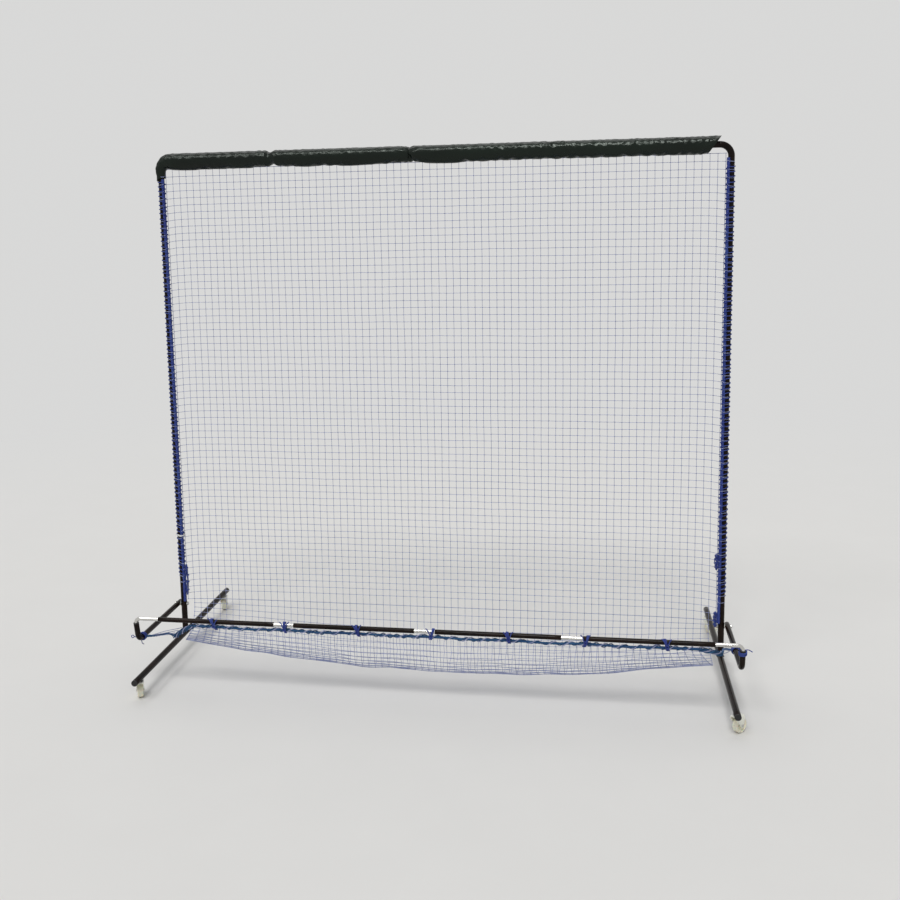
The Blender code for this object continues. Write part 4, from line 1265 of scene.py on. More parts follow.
class BALLNET_OT_add_panel(bpy.types.Operator):
    """Add the upright net panel"""

    bl_idname = "ballnet.add_panel"
    bl_label = "Net panel"

    def execute(self, context):
        sizes = settings("net_netting")
        span = size_of("net_panel")
        columns, rows = round(span.x / sizes.mesh), round(span.z / sizes.mesh)
        panel = netting("netting_panel", columns, rows, panel_point, sizes.strand, sizes.knot)
        finish_piece(panel, finishes()["net_cord"], "frame", "net_cord", "net_panel")
        return {"FINISHED"}


class BALLNET_OT_add_pocket(bpy.types.Operator):
    """Add the hanging net pocket"""

    bl_idname = "ballnet.add_pocket"
    bl_label = "Net pocket"

    def execute(self, context):
        sizes = settings("net_netting")
        first, last = pocket_columns()
        columns, rows = last - first, len(pocket_rows()) - 1
        pocket = netting("netting_pocket", columns, rows, pocket_point, sizes.strand, sizes.knot)
        pocket.data.materials.clear()
        pocket.data.materials.append(finishes()["net_cord"])
        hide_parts("net_pocket")
        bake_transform(pocket)
        return {"FINISHED"}


# Laces, rope and ties.


def edge_place():
    """The edge cord's place beside an upright: towards the net and to the front. It touches the tube."""
    reach = FRAME_RADIUS + settings("net_netting").edge_cord + SMALL
    return -0.62 * reach, -0.785 * reach


def round_post(side, angle, extra):
    """X and Y of a tight loop round an upright and its edge cord; angle 0 faces away from the net."""
    cord, (across, deep) = settings("net_netting").edge_cord, edge_place()
    if across * math.cos(angle) + deep * math.sin(angle) + cord < FRAME_RADIUS:
        cord, across, deep = FRAME_RADIUS, 0.0, 0.0
    reach = cord + extra
    return side * (POST_X + across + reach * math.cos(angle)), deep + reach * math.sin(angle)


LOOP_SECTION = 0.08  # section radius of the pattern for the loops, whose ring has a radius of 1
LOOPS_FROM, LOOPS_TO = 0.085, 0.012  # above the pivot, and below the panel's head
WHITE_TIE_HEIGHT = 0.466
GATHERED = {"left": ((0.230, 0.350),), "right": ((0.190, 0.246), (0.400, 0.456))}  # foot and head of each
GATHERED_PLACE = (0.0215, -0.0120)  # from an upright's axis: towards the net, and back
GATHERED_STRANDS = 7
GATHERED_REACH = 0.0056  # from a bunch's middle to its outer strands
GATHERED_TURNS = (0.16, 0.42, 0.64, 0.88)  # shares of its length at which cord is wound round it


def post_loops(side, rows):
    """The net's edge meshes carried round the upright, one thin loop for each row."""
    radius = settings("net_netting").strand / 2 + 0.0001
    lowest, highest = PIVOT.z + LOOPS_FROM, box("net_panel")[1].z - LOOPS_TO
    bpy.ops.object.select_all(action="DESELECT")
    bpy.ops.mesh.primitive_torus_add(
        major_radius=1, minor_radius=LOOP_SECTION, major_segments=20, minor_segments=4
    )
    pattern = settle(bpy.context.object, "pattern")
    pieces = []
    for row in range(rows + 1):
        height = panel_point(0.0 if side < 0 else 1.0, row / rows).z
        if height < lowest or height > highest:
            continue
        tilt = 0.8 * noise.noise(Vector((row * 1.7, side, 0.5)))
        loop = copy_of(pattern, "loop")
        for vertex in loop.data.vertices:
            angle = math.atan2(vertex.co.y, vertex.co.x)
            out = (math.hypot(vertex.co.x, vertex.co.y) - 1) / LOOP_SECTION * radius
            x, y = round_post(side, angle, out)
            lift = 0.0040 * (0.6 + tilt) * math.cos(angle) + 0.0012 * math.sin(2 * angle + row)
            vertex.co = Vector((x, y, height - lift + vertex.co.z / LOOP_SECTION * radius))
        pieces.append(loop)
    bpy.data.objects.remove(pattern)
    return pieces


class BALLNET_OT_add_laces(bpy.types.Operator):
    """Add the lacing, the edge cords, their gathered lengths and the net's loops round the uprights"""

    bl_idname = "ballnet.add_laces"
    bl_label = "Edge lacing"

    def execute(self, context):
        sizes = settings("net_netting")
        finish = finishes()
        low, high = box("net_panel")
        rows = round((high.z - low.z) / sizes.mesh)
        for side, side_name in SIDES:
            lace = laid_cord(f"lacing_{side_name}", self.lace_line(side, side_name), sizes.lace)
            finish_piece(lace, finish["blue_cord"], "frame", "blue_cord", f"edge_lace_{side_name}")
            loops = join(post_loops(side, rows), f"net_loops_{side_name}")
            finish_piece(shade(loops, 60), finish["net_cord"], "frame", "net_cord")
            cords, strands = [self.edge_cord(side, low.z)], []
            for start, end in GATHERED[side_name]:
                self.gathered(side, start, end, cords, strands)
            edge = join(cords, f"edge_cord_{side_name}")
            finish_piece(edge, finish["blue_cord"], "frame", "blue_cord")
            finish_piece(join(strands, f"gathered_net_{side_name}"), finish["net_cord"], "frame", "net_cord")
        self.white_tie(finish)
        return {"FINISHED"}

    def lace_line(self, side, side_name):
        """Loose turns round post and edge cord at an even pitch, wandering up and down between the foot and
        the head.
        """
        sizes = settings("net_netting")
        low, high = box(f"edge_lace_{side_name}")
        foot, head = low.z + 0.002, high.z + 0.012
        steps = 16
        total = round((head - foot) / sizes.lace_pitch) * steps
        points = []
        for i in range(total + 1):
            t = i / total
            angle = 2 * math.pi * i / steps + 0.5 * noise.noise(Vector((t * 50, side, 7)))
            slack = 0.0021 + 0.0004 * noise.noise(Vector((t * 60, side, 2)))
            x, y = round_post(side, angle, slack)
            wander = 0.007 * noise.noise(Vector((t * 33, side * 3, 6)))
            points.append(Vector((x, y, foot + (head - foot) * t + wander * min(1, 40 * t * (1 - t)))))
        return points

    def edge_cord(self, side, foot):
        """The cord along a side edge of the net, from its foot to just under the sleeve or the corner."""
        sizes = settings("net_netting")
        head = BAR_HEIGHT - (0.064 if side < 0 else 0.044)
        line = []
        for i in range(61):
            t = i / 60
            across, deep = edge_place()
            across -= 0.0006 * noise.noise(Vector((t * 20, side, 4)))
            deep += 0.0004 * noise.noise(Vector((t * 18, side, 8)))
            line.append(Vector((side * (POST_X + across), deep, foot - 0.004 + (head - foot + 0.004) * t)))
        return laid_cord("edge_cord", smooth_path(line, 0.01), sizes.edge_cord, lay=9)

    def gathered(self, side, start, end, cords, strands):
        """A length where the net's edge is bunched: wavy strands side by side, held by a few turns."""
        inset, deep = GATHERED_PLACE
        centre = Vector((side * (POST_X - inset), deep, 0))
        for number in range(GATHERED_STRANDS):
            around = 2 * math.pi * number / GATHERED_STRANDS
            line = []
            for i in range(25):
                t = i / 24
                belly = 0.30 + 0.70 * math.sin(math.pi * t) ** 0.6
                wobble = noise.noise(Vector((t * 4.5, number * 3.1, start * 9)))
                angle = around + 1.3 * t + 0.7 * wobble
                reach = GATHERED_REACH * belly * (1 + 0.25 * wobble)
                height = start + (end - start) * t
                line.append(centre + Vector((reach * math.cos(angle), reach * math.sin(angle), height)))
            if number % 3:
                cords.append(laid_cord("gathered", smooth_path(line, 0.004), 0.0017, lay=9))
            else:
                strands.append(plain_cord("strand", smooth_path(line, 0.004), 0.0012, 8))
        for place in GATHERED_TURNS:
            at = centre + Vector((0, 0, start + (end - start) * place))
            belly = 0.45 + 0.55 * math.sin(math.pi * place) ** 0.6
            axis = UP + Vector((0.25 * side, 0.2 * noise.noise(at * 30), 0))
            wraps = coil(at, axis, 0.0082 * belly, 1.6, 0.0040)
            cords.append(laid_cord("turns", wraps, 0.0015))

    def white_tie(self, finish):
        """The small white tie on the left upright, with two short ends."""
        sizes = settings("net_netting")
        wraps = []
        for i in range(45):
            x, y = round_post(-1, 2 * math.pi * i / 16 - 2.0, 0.0050)
            wraps.append(Vector((x, y, WHITE_TIE_HEIGHT + 0.0024 * (i / 16 - 1.4))))
        knot = wraps[-1]
        ends = (Vector((0.004, -0.006, -0.013)), Vector((-0.005, -0.007, -0.010)))
        pieces = [plain_cord("wraps", wraps, sizes.thin, 8)]
        for end in ends:
            path = smooth_path([knot, knot + end * 0.5 + Vector((0, -0.001, 0.003)), knot + end], 0.002)
            pieces.append(plain_cord("end", path, sizes.thin, 8))
        tie = join(pieces, "white_tie_left")
        finish_piece(tie, finish["white_tie"], "frame", "white_nylon")


TIE_COUNT = 7
KNOT_REACH = {"left": 0.326, "right": 0.210}  # from the pivot's axis forwards to each knot
RIGHT_COLLAR_DROP = 0.0270  # from the rail's axis down the right riser
ROPE_SAG = 0.0034  # between two ties
GATHER_TOP = 0.0072  # how far above the rope's middle the gathered strands may rise, under the rail
PALE_BUNDLE = 1  # of each three strands in the end bundles, the one that is net and not cord


def run_of_rope(side):
    """The border rope's line from the end of the pocket to its knot on an arm. Its points are given."""
    left, right = pocket_range()
    low, high = box("front_rope")
    if side < 0:
        knot = Vector((low.x, PIVOT.y - KNOT_REACH["left"], PIVOT.z))
        start = Vector((left, RAIL.y, ROPE_HEIGHT))
        between = [
            start + Vector((-0.030, 0.010, -0.014)),
            start + Vector((-0.062, 0.028, -0.036)),
            start + Vector((-0.094, 0.046, -0.060)),
            knot + Vector((0.085, 0.012, 0.008)),
            knot + Vector((0.030, 0.003, 0.002)),
        ]
    else:
        knot = Vector((high.x, PIVOT.y - KNOT_REACH["right"], PIVOT.z))
        start = Vector((right, RAIL.y, ROPE_HEIGHT))
        between = [
            start + Vector((0.040, 0.012, -0.010)),
            start + Vector((0.078, 0.046, -0.030)),
            knot + Vector((-0.030, -0.020, 0.010)),
        ]
    return [start, *between, knot]


def knot_on_arm(x, y, side, radius, turns, pitch):
    """Cord wound round an arm, with a hitch on its inner face."""
    wraps = coil((x, y, PIVOT.z), BACK, ARM_RADIUS + radius + 0.0006, turns, pitch, steps=20)
    reach = ARM_RADIUS + radius * 2.7
    crossing = []
    for i in range(21):
        t = i / 20 - 0.5
        angle = math.pi / 2 + side * math.pi * 0.5 + math.pi * 0.9 * t
        along = t * pitch * turns * 1.3
        crossing.append(Vector((x + reach * math.cos(angle), y + along, PIVOT.z + reach * math.sin(angle))))
    return [laid_cord("wraps", wraps, radius), laid_cord("crossing", crossing, radius)]


class BALLNET_OT_add_rope(bpy.types.Operator):
    """Add the border rope under the rail, the strands gathered along it and its knots"""

    bl_idname = "ballnet.add_rope"
    bl_label = "Border rope"

    def execute(self, context):
        sizes = settings("net_netting")
        finish = finishes()
        left_run, right_run = run_of_rope(-1), run_of_rope(1)
        points = evenly([*smooth_path(left_run[::-1], 0.006), *smooth_path(right_run, 0.006)], 0.006)
        points = [point - UP * self.slack(point) for point in points]
        rope = laid_cord("border_rope", points, sizes.rope)
        finish_piece(rope, finish["dark_blue_rope"], "pocket_frame", "dark_blue_rope", "front_rope")
        self.gathers(finish, points)
        self.knots(finish, left_run[-1], right_run[-1])
        self.thin_cords(finish, left_run, right_run)
        return {"FINISHED"}

    def slack(self, point):
        """How far the rope sags at a point between two of its ties."""
        held = [middle(f"tie_{number}").x for number in range(1, TIE_COUNT + 1)]
        for left, right in zip(held, held[1:]):
            if left < point.x < right:
                return ROPE_SAG * math.sin(math.pi * (point.x - left) / (right - left)) ** 2
        return 0.0

    def around(self, points, reach, turn_length, phase, start, end):
        """A line wound about points, from start to end of its length."""
        line = evenly(points, 0.004)
        made = []
        along = 0.0
        for i in range(int(start * len(line)), int(end * len(line)) - 1):
            ahead = (line[i + 1] - line[i]).normalized()
            across = ahead.cross(UP).normalized()
            over = across.cross(ahead)
            angle = phase + 2 * math.pi * along / turn_length
            uneven = 1 + 0.25 * noise.noise(line[i] * 14 + Vector((phase, 0, 0)))
            made.append(line[i] + (across * math.cos(angle) + over * math.sin(angle)) * reach * uneven)
            along += (line[i + 1] - line[i]).length
        return made

    def gathers(self, finish, points):
        """Net strands and thin cord wound along the rope; the ends beyond the rail are thick bundles."""
        sizes = settings("net_netting")
        left, right = pocket_range()
        line = evenly(points, 0.004)
        first = next(i for i, point in enumerate(line) if point.x > left) / len(line)
        final = next(i for i, point in enumerate(line) if point.x > right) / len(line)
        hug = sizes.rope + sizes.gather - 0.0002
        blue, pale = [], []
        for phase, turn_length in ((0.0, 0.055), (2.2, 0.047)):
            path = self.around(points, hug, turn_length, phase, first + 0.004, final - 0.004)
            path = [Vector((p.x, p.y, min(p.z, ROPE_HEIGHT + GATHER_TOP))) for p in path]
            (blue if phase else pale).append(plain_cord("gathered", path, sizes.gather, 6))
        for number in range(6):
            phase = number * 2 * math.pi / 6
            target = pale if number % 3 == PALE_BUNDLE else blue
            reach = hug + 0.0016 * (number % 2)
            for turn_length, start, end in ((0.090, first - 0.058, first), (0.080, final, final + 0.046)):
                path = self.around(points, reach, turn_length, phase, start, end)
                target.append(plain_cord("bundle", path, sizes.gather * 1.15, 6))
        finish_piece(join(blue, "gathered_blue"), finish["dark_blue_rope"], "pocket_frame", "dark_blue_rope")
        finish_piece(join(pale, "gathered_net"), finish["net_cord"], "pocket_frame", "net_cord")

    def knots(self, finish, left_knot, right_knot):
        """The knots on both arms, the left one's two tails and the collar on the right riser."""
        left_x, right_x = middle("pocket_arm_left").x, middle("pocket_arm_right").x
        pieces = knot_on_arm(left_x, left_knot.y, 1, 0.0024, 3, 0.0054)
        pieces += knot_on_arm(right_x, right_knot.y, -1, 0.0026, 3, 0.0058)
        pieces += self.left_tails(left_x, left_knot.y)
        _, top, riser = riser_line("right")
        collar = coil(top - riser * RIGHT_COLLAR_DROP, riser, ARM_RADIUS + 0.0026, 3, 0.0044, steps=20)
        pieces.append(laid_cord("collar", collar, 0.0020))
        end = collar[-1]
        path = [end, end + Vector((0.010, -0.004, 0.002)), end + Vector((0.022, -0.005, -0.004))]
        pieces.append(laid_cord("collar_tail", smooth_path(path, 0.0025), 0.0016))
        finish_piece(join(pieces, "rope_knots"), finish["blue_cord"], "pocket_frame", "blue_cord")

    def left_tails(self, x, y):
        """One tail that curls into a small loop outside the left arm, and one that hangs below it."""
        start = Vector((x - 0.0145, y, PIVOT.z - 0.002))
        tail = [start, start + Vector((-0.007, -0.004, -0.002)), start + Vector((-0.016, -0.006, 0.001))]
        for angle in np.linspace(math.pi, 3 * math.pi, 15)[1:]:
            curl = Vector((-0.021 - 0.005 * math.cos(angle), -0.006, 0.001 + 0.005 * math.sin(angle)))
            tail.append(start + curl)
        below = Vector((x - 0.004, y - 0.004, PIVOT.z - 0.0150))
        hanging = [below, below + Vector((0.004, -0.004, -0.008)), below + Vector((0.011, -0.006, -0.011))]
        return [laid_cord("tail", smooth_path(path, 0.0025), 0.0014) for path in (tail, hanging)]

    def thin_cords(self, finish, left_run, right_run):
        """Loose thin cords between the arms and the ends of the pocket."""
        routes = []
        for number in range(3):
            lift = Vector((0, 0.004 * number, 0.006 + 0.004 * number))
            start = left_run[-1] + Vector((0.004, 0.002, 0.003 * (number - 1)))
            end = left_run[2] + Vector((-0.014 * number, 0.008, 0.012 - 0.010 * number))
            routes.append([start, (start + end) / 2 + Vector((0, 0.004, -0.006 * number)) + lift * 0.3, end])
        for number in range(2):
            start = right_run[-1] + Vector((-0.003, -0.002, 0.003 * (number - 0.5)))
            end = right_run[2] + Vector((0.004, 0.006, 0.008 - 0.012 * number))
            routes.append([start, (start + end) / 2 + Vector((0, 0.004, -0.004 * number)), end])
        thin = settings("net_netting").thin
        pieces = [plain_cord("loose", smooth_path(route, 0.008), thin, 6) for route in routes]
        finish_piece(join(pieces, "loose_cords"), finish["net_cord"], "pocket_frame", "net_cord")


TIE_TURNS = 3
TIE_STEPS = 18  # points in one turn


def tie_wraps(seed, slant, centre, half_wide, half_high):
    """Slanting turns round rail and rope, narrower round the rope."""
    points = []
    for i in range(TIE_TURNS * TIE_STEPS + 1):
        angle = -math.pi / 2 + 2 * math.pi * i / TIE_STEPS
        uneven = 0.0012 * noise.noise(seed + Vector((i * 0.1, 0, 0)))
        along = (i / (TIE_TURNS * TIE_STEPS) - 0.5) * 0.0085 - slant * math.sin(angle) + uneven
        narrow = 1.0 if math.sin(angle) > 0 else 0.86
        across = half_wide * narrow * math.cos(angle)
        points.append(centre + Vector((along, across, half_high * math.sin(angle))))
    return points


def knot_loop(centre, turn):
    """Half of the reef knot: an open loop that leans to one side."""
    loop = []
    for i in range(15):
        angle = 2 * math.pi * i / 14 * 0.85
        across, high = 0.0048 * math.sin(angle), 0.0042 * math.cos(angle)
        loop.append(centre + Vector((turn * across, -0.0018 - 0.0016 * turn * math.cos(angle), high - 0.001)))
    return loop


def tie_end(seed, low, turn):
    """A short end that stands up from the knot and leans away from the other one."""
    lean = turn * (0.006 + 0.007 * abs(noise.noise(seed * turn)))
    rise = 0.014 + 0.012 * abs(noise.noise(seed + Vector((turn, 5, 0))))
    start = low + Vector((turn * 0.002, -0.002, 0.002))
    return [
        start,
        start + Vector((lean * 0.5, -0.003, 0.010)),
        start + Vector((lean, -0.002, 0.010 + rise * 0.6)),
        start + Vector((lean * 1.7, -0.004, 0.010 + rise)),
    ]


class BALLNET_OT_add_ties(bpy.types.Operator):
    """Add the seven cord ties that hold rope and net to the rail"""

    bl_idname = "ballnet.add_ties"
    bl_label = "Cord ties"

    def execute(self, context):
        finish = finishes()
        for number in range(1, TIE_COUNT + 1):
            node = f"tie_{number}"
            tie = self.tie(number, middle(node).x)
            finish_piece(tie, finish["blue_cord"], "pocket_frame", "blue_cord", node)
        return {"FINISHED"}

    def tie(self, number, x):
        """Three turns round rail and rope, with a reef knot in front and two short ends."""
        sizes = settings("net_netting")
        seed = Vector((number * 2.31, 0.7, 1.9))
        slant = 0.010 * noise.noise(seed) + (0.006 if number % 2 else -0.004)
        top = RAIL.z + RAIL_RADIUS + sizes.tie + SMALL
        bottom = ROPE_HEIGHT - sizes.rope - 2 * sizes.gather - sizes.tie
        centre = Vector((x, RAIL.y, (top + bottom) / 2))
        half_high, half_wide = (top - bottom) / 2, RAIL_RADIUS + sizes.tie + 0.0006
        low = centre + Vector((slant * 0.4, -half_wide - 0.0012, -0.0020))
        pieces = [laid_cord("wraps", tie_wraps(seed, slant, centre, half_wide, half_high), sizes.tie)]
        for turn in (-1, 1):
            pieces.append(laid_cord("knot", smooth_path(knot_loop(low, turn), 0.0015), sizes.tie))
        for turn in (-1, 1):
            pieces.append(laid_cord("end", smooth_path(tie_end(seed, low, turn), 0.0025), sizes.tie))
        return join(pieces, f"cord_tie_{number}")


# Pocket frame.


TAIL_CAP = 0.0060  # length of the rounded plug behind the pivot
TAIL_SHOWN = 0.0035  # of it, how much the tube leaves free


def arm_piece(side_name, node):
    """Arm and riser: one tube bent up at the front and closed behind the pivot."""
    tubes = settings("net_tubes")
    foot, rail, riser = riser_line(side_name)
    tail = Vector((foot.x, box(node)[1].y, PIVOT.z))
    ahead = Vector((0, -1, 0))
    turn = ahead.angle(riser)
    reach = tubes.arm_bend * math.tan(turn / 2)
    turning = Turning(node.replace("pocket_arm", "arm"), tail + ahead * TAIL_SHOWN, ahead, ARM_RADIUS)
    turning.draw((foot - tail).length - reach - TAIL_SHOWN, 16).bend(UP, turn, tubes.arm_bend, 10)
    turning.draw((rail - riser * tubes.riser_stop - turning.at).length, 4)
    arm = tube_wall(turning.done(), tubes.wall, tubes.rim)
    end = Turning(f"{node}_end", tail + ahead * TAIL_CAP, BACK, ARM_RADIUS * 0.99)
    end.draw(TAIL_CAP - TAIL_SHOWN).dome(0.0033, 6)
    return join([arm, close_holes(end.done())], node.replace("pocket_arm", "swing_arm"))


class BALLNET_OT_add_arms(bpy.types.Operator):
    """Add the two swing arms and the bushes in their risers"""

    bl_idname = "ballnet.add_arms"
    bl_label = "Swing arms"

    def execute(self, context):
        finish = finishes()
        for _, side_name in SIDES:
            node = f"pocket_arm_{side_name}"
            arm = shade(arm_piece(side_name, node))
            finish_piece(arm, finish["black_paint"], "pocket_frame", "black_paint", node)
            node = f"riser_bush_{side_name}"
            bush = from_node(node, f"bush_{side_name}", 0.0003)
            finish_piece(bush, finish["black_plastic"], "pocket_frame", "black_plastic", node)
        return {"FINISHED"}


RAIL_TUBES = 4
RAIL_JOINERS = 3
JOINER_CHAMFER = 0.0006


def joiner_piece(name, start, run):
    """Bright straight rod with chamfered ends."""
    slim = ROD_RADIUS - JOINER_CHAMFER
    turning = Turning(name, start, RIGHT, slim).rim([(ROD_RADIUS, JOINER_CHAMFER)])
    turning.draw(run - 2 * JOINER_CHAMFER, 6).rim([(slim, JOINER_CHAMFER)])
    return shade(close_holes(turning.done()), 40)


def elbow_piece(side, side_name, node):
    """Bright bent rod, from inside the riser to inside the rail's end tube."""
    tubes = settings("net_tubes")
    low, high = box(node)
    _, rail, riser = riser_line(side_name)
    inside = tubes.riser_stop + tubes.plug
    turning = Turning(f"bright_elbow_{side_name}", rail - riser * inside, riser, ROD_RADIUS)
    turning.draw(inside - tubes.elbow_bend, 4)
    turning.bend((-side, 0, 0), math.pi / 2, tubes.elbow_bend, 14)
    end = high.x if side < 0 else low.x
    turning.draw(abs(end - turning.at.x), 4)
    return shade(close_holes(turning.done()), 40)


class BALLNET_OT_add_rail(bpy.types.Operator):
    """Add the rail's black tubes, bright joiners and bright elbows"""

    bl_idname = "ballnet.add_rail"
    bl_label = "Front rail"

    def execute(self, context):
        wall, rim = RAIL_RADIUS - ROD_RADIUS - SMALL, settings("net_tubes").rim
        finish = finishes()
        for number in range(1, RAIL_TUBES + 1):
            node = f"rail_tube_{number}"
            low, high = box(node)
            turning = Turning(f"rail_{number}", (low.x, RAIL.y, RAIL.z), RIGHT, RAIL_RADIUS)
            tube = tube_wall(turning.draw(high.x - low.x, 12).done(), wall, rim)
            finish_piece(tube, finish["black_paint"], "pocket_frame", "black_paint", node)
        for number in range(1, RAIL_JOINERS + 1):
            node = f"rail_joiner_{number}"
            low, high = box(node)
            rod = joiner_piece(f"bright_joiner_{number}", (low.x, RAIL.y, RAIL.z), high.x - low.x)
            finish_piece(rod, finish["bright_steel"], "pocket_frame", "bright_steel", node)
        for side, side_name in SIDES:
            node = f"rail_elbow_{side_name}"
            rod = elbow_piece(side, side_name, node)
            finish_piece(rod, finish["bright_steel"], "pocket_frame", "bright_steel", node)
        return {"FINISHED"}


CHAMFER_HIGH = 0.22  # share of a nut's thickness
CHAMFER_IN = 0.84  # radius of its chamfered face, as a share of its corners' radius
HEAD_THICKNESS = 0.0055
THREAD = (0.0036, 0.0040)  # radius in the groove and on the crest
THREAD_RINGS = 7
WASHER_BORE = 0.0044
WASHER_EDGE = 0.0003


def hexagon(name, centre_x, thick, across, side):
    """A chamfered hexagon about X: a six-sided prism cut by a turned blank."""
    bpy.ops.object.select_all(action="DESELECT")
    bpy.ops.mesh.primitive_cylinder_add(
        vertices=6, radius=across, depth=thick, location=(centre_x, 0, PIVOT.z), rotation=(0, math.pi / 2, 0)
    )
    prism = settle(bpy.context.object, name)
    start = Vector((centre_x - side * thick * 0.5001, 0, PIVOT.z))
    blank = Turning("blank", start, (side, 0, 0), across * 1.02, 36)
    chamfer = (across * CHAMFER_IN, thick * (CHAMFER_HIGH + 0.0004))
    blank.draw(thick * (1 - CHAMFER_HIGH)).rim([chamfer]).cap()
    cutter = close_holes(blank.done())
    apply_modifier(prism, "BOOLEAN", operation="INTERSECT", object=cutter)
    bpy.data.objects.remove(cutter)
    return round_edges(prism, 0.00015, 20)


def bolt_piece(side, name, node, across):
    """Hexagon bolt through upright and arm, with a few rings of thread at its tip."""
    low, high = box(node)
    outer, tip = max(abs(low.x), abs(high.x)), min(abs(low.x), abs(high.x))
    head = hexagon("head", side * (outer - HEAD_THICKNESS / 2), HEAD_THICKNESS, across, side)
    groove, crest = THREAD
    shank = Turning("shank", (side * tip, 0, PIVOT.z), (side, 0, 0), 0.0034, 24)
    shank.rim([(crest, 0.0006)])
    for _ in range(THREAD_RINGS):
        shank.rim([(crest, 0.0004), (groove, 0.0003), (crest, 0.0004)])
    shank.draw(outer - HEAD_THICKNESS - tip - 0.0006 - THREAD_RINGS * 0.0011 + 0.0004)
    return shade(join([head, close_holes(shank.done())], name), 30)


def washer_piece(side, name, node):
    low, high = box(node)
    radius, thick = (high.z - low.z) / 2, high.x - low.x
    start = (low.x if side > 0 else high.x, 0, PIVOT.z)
    ring = Turning(name, start, (side, 0, 0), WASHER_BORE, 36)
    ring.rim([(radius - WASHER_EDGE, 0), (radius, WASHER_EDGE), (radius, thick - 2 * WASHER_EDGE)])
    ring.rim([(radius - WASHER_EDGE, WASHER_EDGE), (WASHER_BORE, 0)])
    return shade(close_turned(ring.done()), 40)


class BALLNET_OT_add_pivots(bpy.types.Operator):
    """Add the fold pivots: bolt, nylon washer and nut on each side"""

    bl_idname = "ballnet.add_pivots"
    bl_label = "Fold pivots"

    def execute(self, context):
        finish = finishes()
        for side, side_name in SIDES:
            span = size_of(f"pivot_nut_{side_name}")
            across = max(span.z / 2, span.y / 2)
            node = f"pivot_bolt_{side_name}"
            bolt = bolt_piece(side, f"fold_bolt_{side_name}", node, across)
            finish_piece(bolt, finish["zinc_plate"], "frame", "zinc_plate", node)
            node = f"pivot_nut_{side_name}"
            nut = shade(hexagon(f"fold_nut_{side_name}", middle(node).x, span.x, across, -side), 30)
            finish_piece(nut, finish["zinc_plate"], "frame", "zinc_plate", node)
            node = f"pivot_washer_{side_name}"
            washer = washer_piece(side, f"fold_washer_{side_name}", node)
            finish_piece(washer, finish["white_nylon"], "frame", "white_nylon", node)
        return {"FINISHED"}


# Casters.


RIB_THICKNESS = 0.0016
RIB_INSET = 0.0018  # below the wheel's sides
AXLE_HALF = 0.0133  # half the axle between its heads
AXLE_RADIUS = 0.0030
AXLE_HEAD = ((0.0032, 0.0), (0.0042, 0.0003), (0.0049, 0.0007), (0.0050, 0.0003))  # radius and advance
STEM_RADIUS = 0.0040
STEM_RIVET = ((0.0058, 0.0004), (0.0064, 0.0009), (0.0065, 0.0009))
RACE_FOOT = 0.0607  # height at which the ball race lies on the fork's crown
RACE_DISC = ((0.0112, 0.0), (0.0115, 0.0004), (0.0115, 0.0008))
RACE_LID = ((0.0109, 0.0004), (0.0115, 0.0004), (0.0115, 0.0006), (0.0108, 0.0004))  # past the groove


def mirrored(profile):
    """The same rings, (radius, advance), as they are met from the other end."""
    radii = [radius for radius, _ in reversed(profile)]
    advances = [0.0, *(advance for _, advance in reversed(profile))]
    return list(zip(radii, advances))


def shoulder_rings(radius, shoulder, closing, steps=5):
    """Rings over one rounded shoulder of the tread."""
    rings, previous = [], 0.0
    for i in range(1, steps + 1):
        angle = math.pi / 2 * i / steps
        inward = 1 - (math.cos(angle) if closing else math.sin(angle))
        along = shoulder * (math.sin(angle) if closing else 1 - math.cos(angle))
        rings.append((radius - shoulder * inward, along - previous))
        previous = along
    return rings


def rib_piece(centre, axle, angle, inner, outer):
    """A flat rib between hub and rim, at an angle round the axle."""
    out = axle.cross(UP).normalized() * math.cos(angle) + UP * math.sin(angle)
    bpy.ops.object.select_all(action="DESELECT")
    bpy.ops.mesh.primitive_cube_add(size=1)
    rib = bpy.context.object
    basis = Matrix((out, axle.cross(out), axle)).transposed().to_4x4()
    width = settings("net_casters").wheel_width - 2 * RIB_INSET
    extent = Matrix.Diagonal((outer - inner + 0.001, RIB_THICKNESS, width, 1))
    rib.matrix_world = Matrix.Translation(Vector(centre) + out * (inner + outer) / 2) @ basis @ extent
    return round_edges(settle(rib, "rib"), 0.0003)


def wheel_piece(name, centre, axle):
    """A moulded wheel: rounded tread, recessed web with ribs, and a hub."""
    sizes = settings("net_casters")
    hub, rim, tread = sizes.hub, sizes.wheel_radius - sizes.rim, sizes.wheel_radius
    edge = 0.0006
    web = [(sizes.bore, 0.0), (hub - 0.0008, 0.0), (hub, edge), (hub + 0.0004, sizes.recess - edge)]
    web += [(rim - 0.0008, 0.0), (rim, -sizes.recess + edge), (rim + 0.0008, -edge)]
    turning = Turning(name, Vector(centre) - axle * (sizes.wheel_width / 2), axle, sizes.bore, 56)
    turning.rim([*web[1:], (tread - sizes.shoulder, 0.0)])
    turning.rim(shoulder_rings(tread, sizes.shoulder, closing=False))
    turning.ring(tread, sizes.wheel_width - 2 * sizes.shoulder)
    turning.rim(shoulder_rings(tread, sizes.shoulder, closing=True))
    turning.rim(mirrored(web))
    pieces = [close_turned(turning.done())]
    for number in range(sizes.ribs):
        pieces.append(rib_piece(centre, axle, 2 * math.pi * number / sizes.ribs, hub, rim))
    return shade(join(pieces, name), 38)


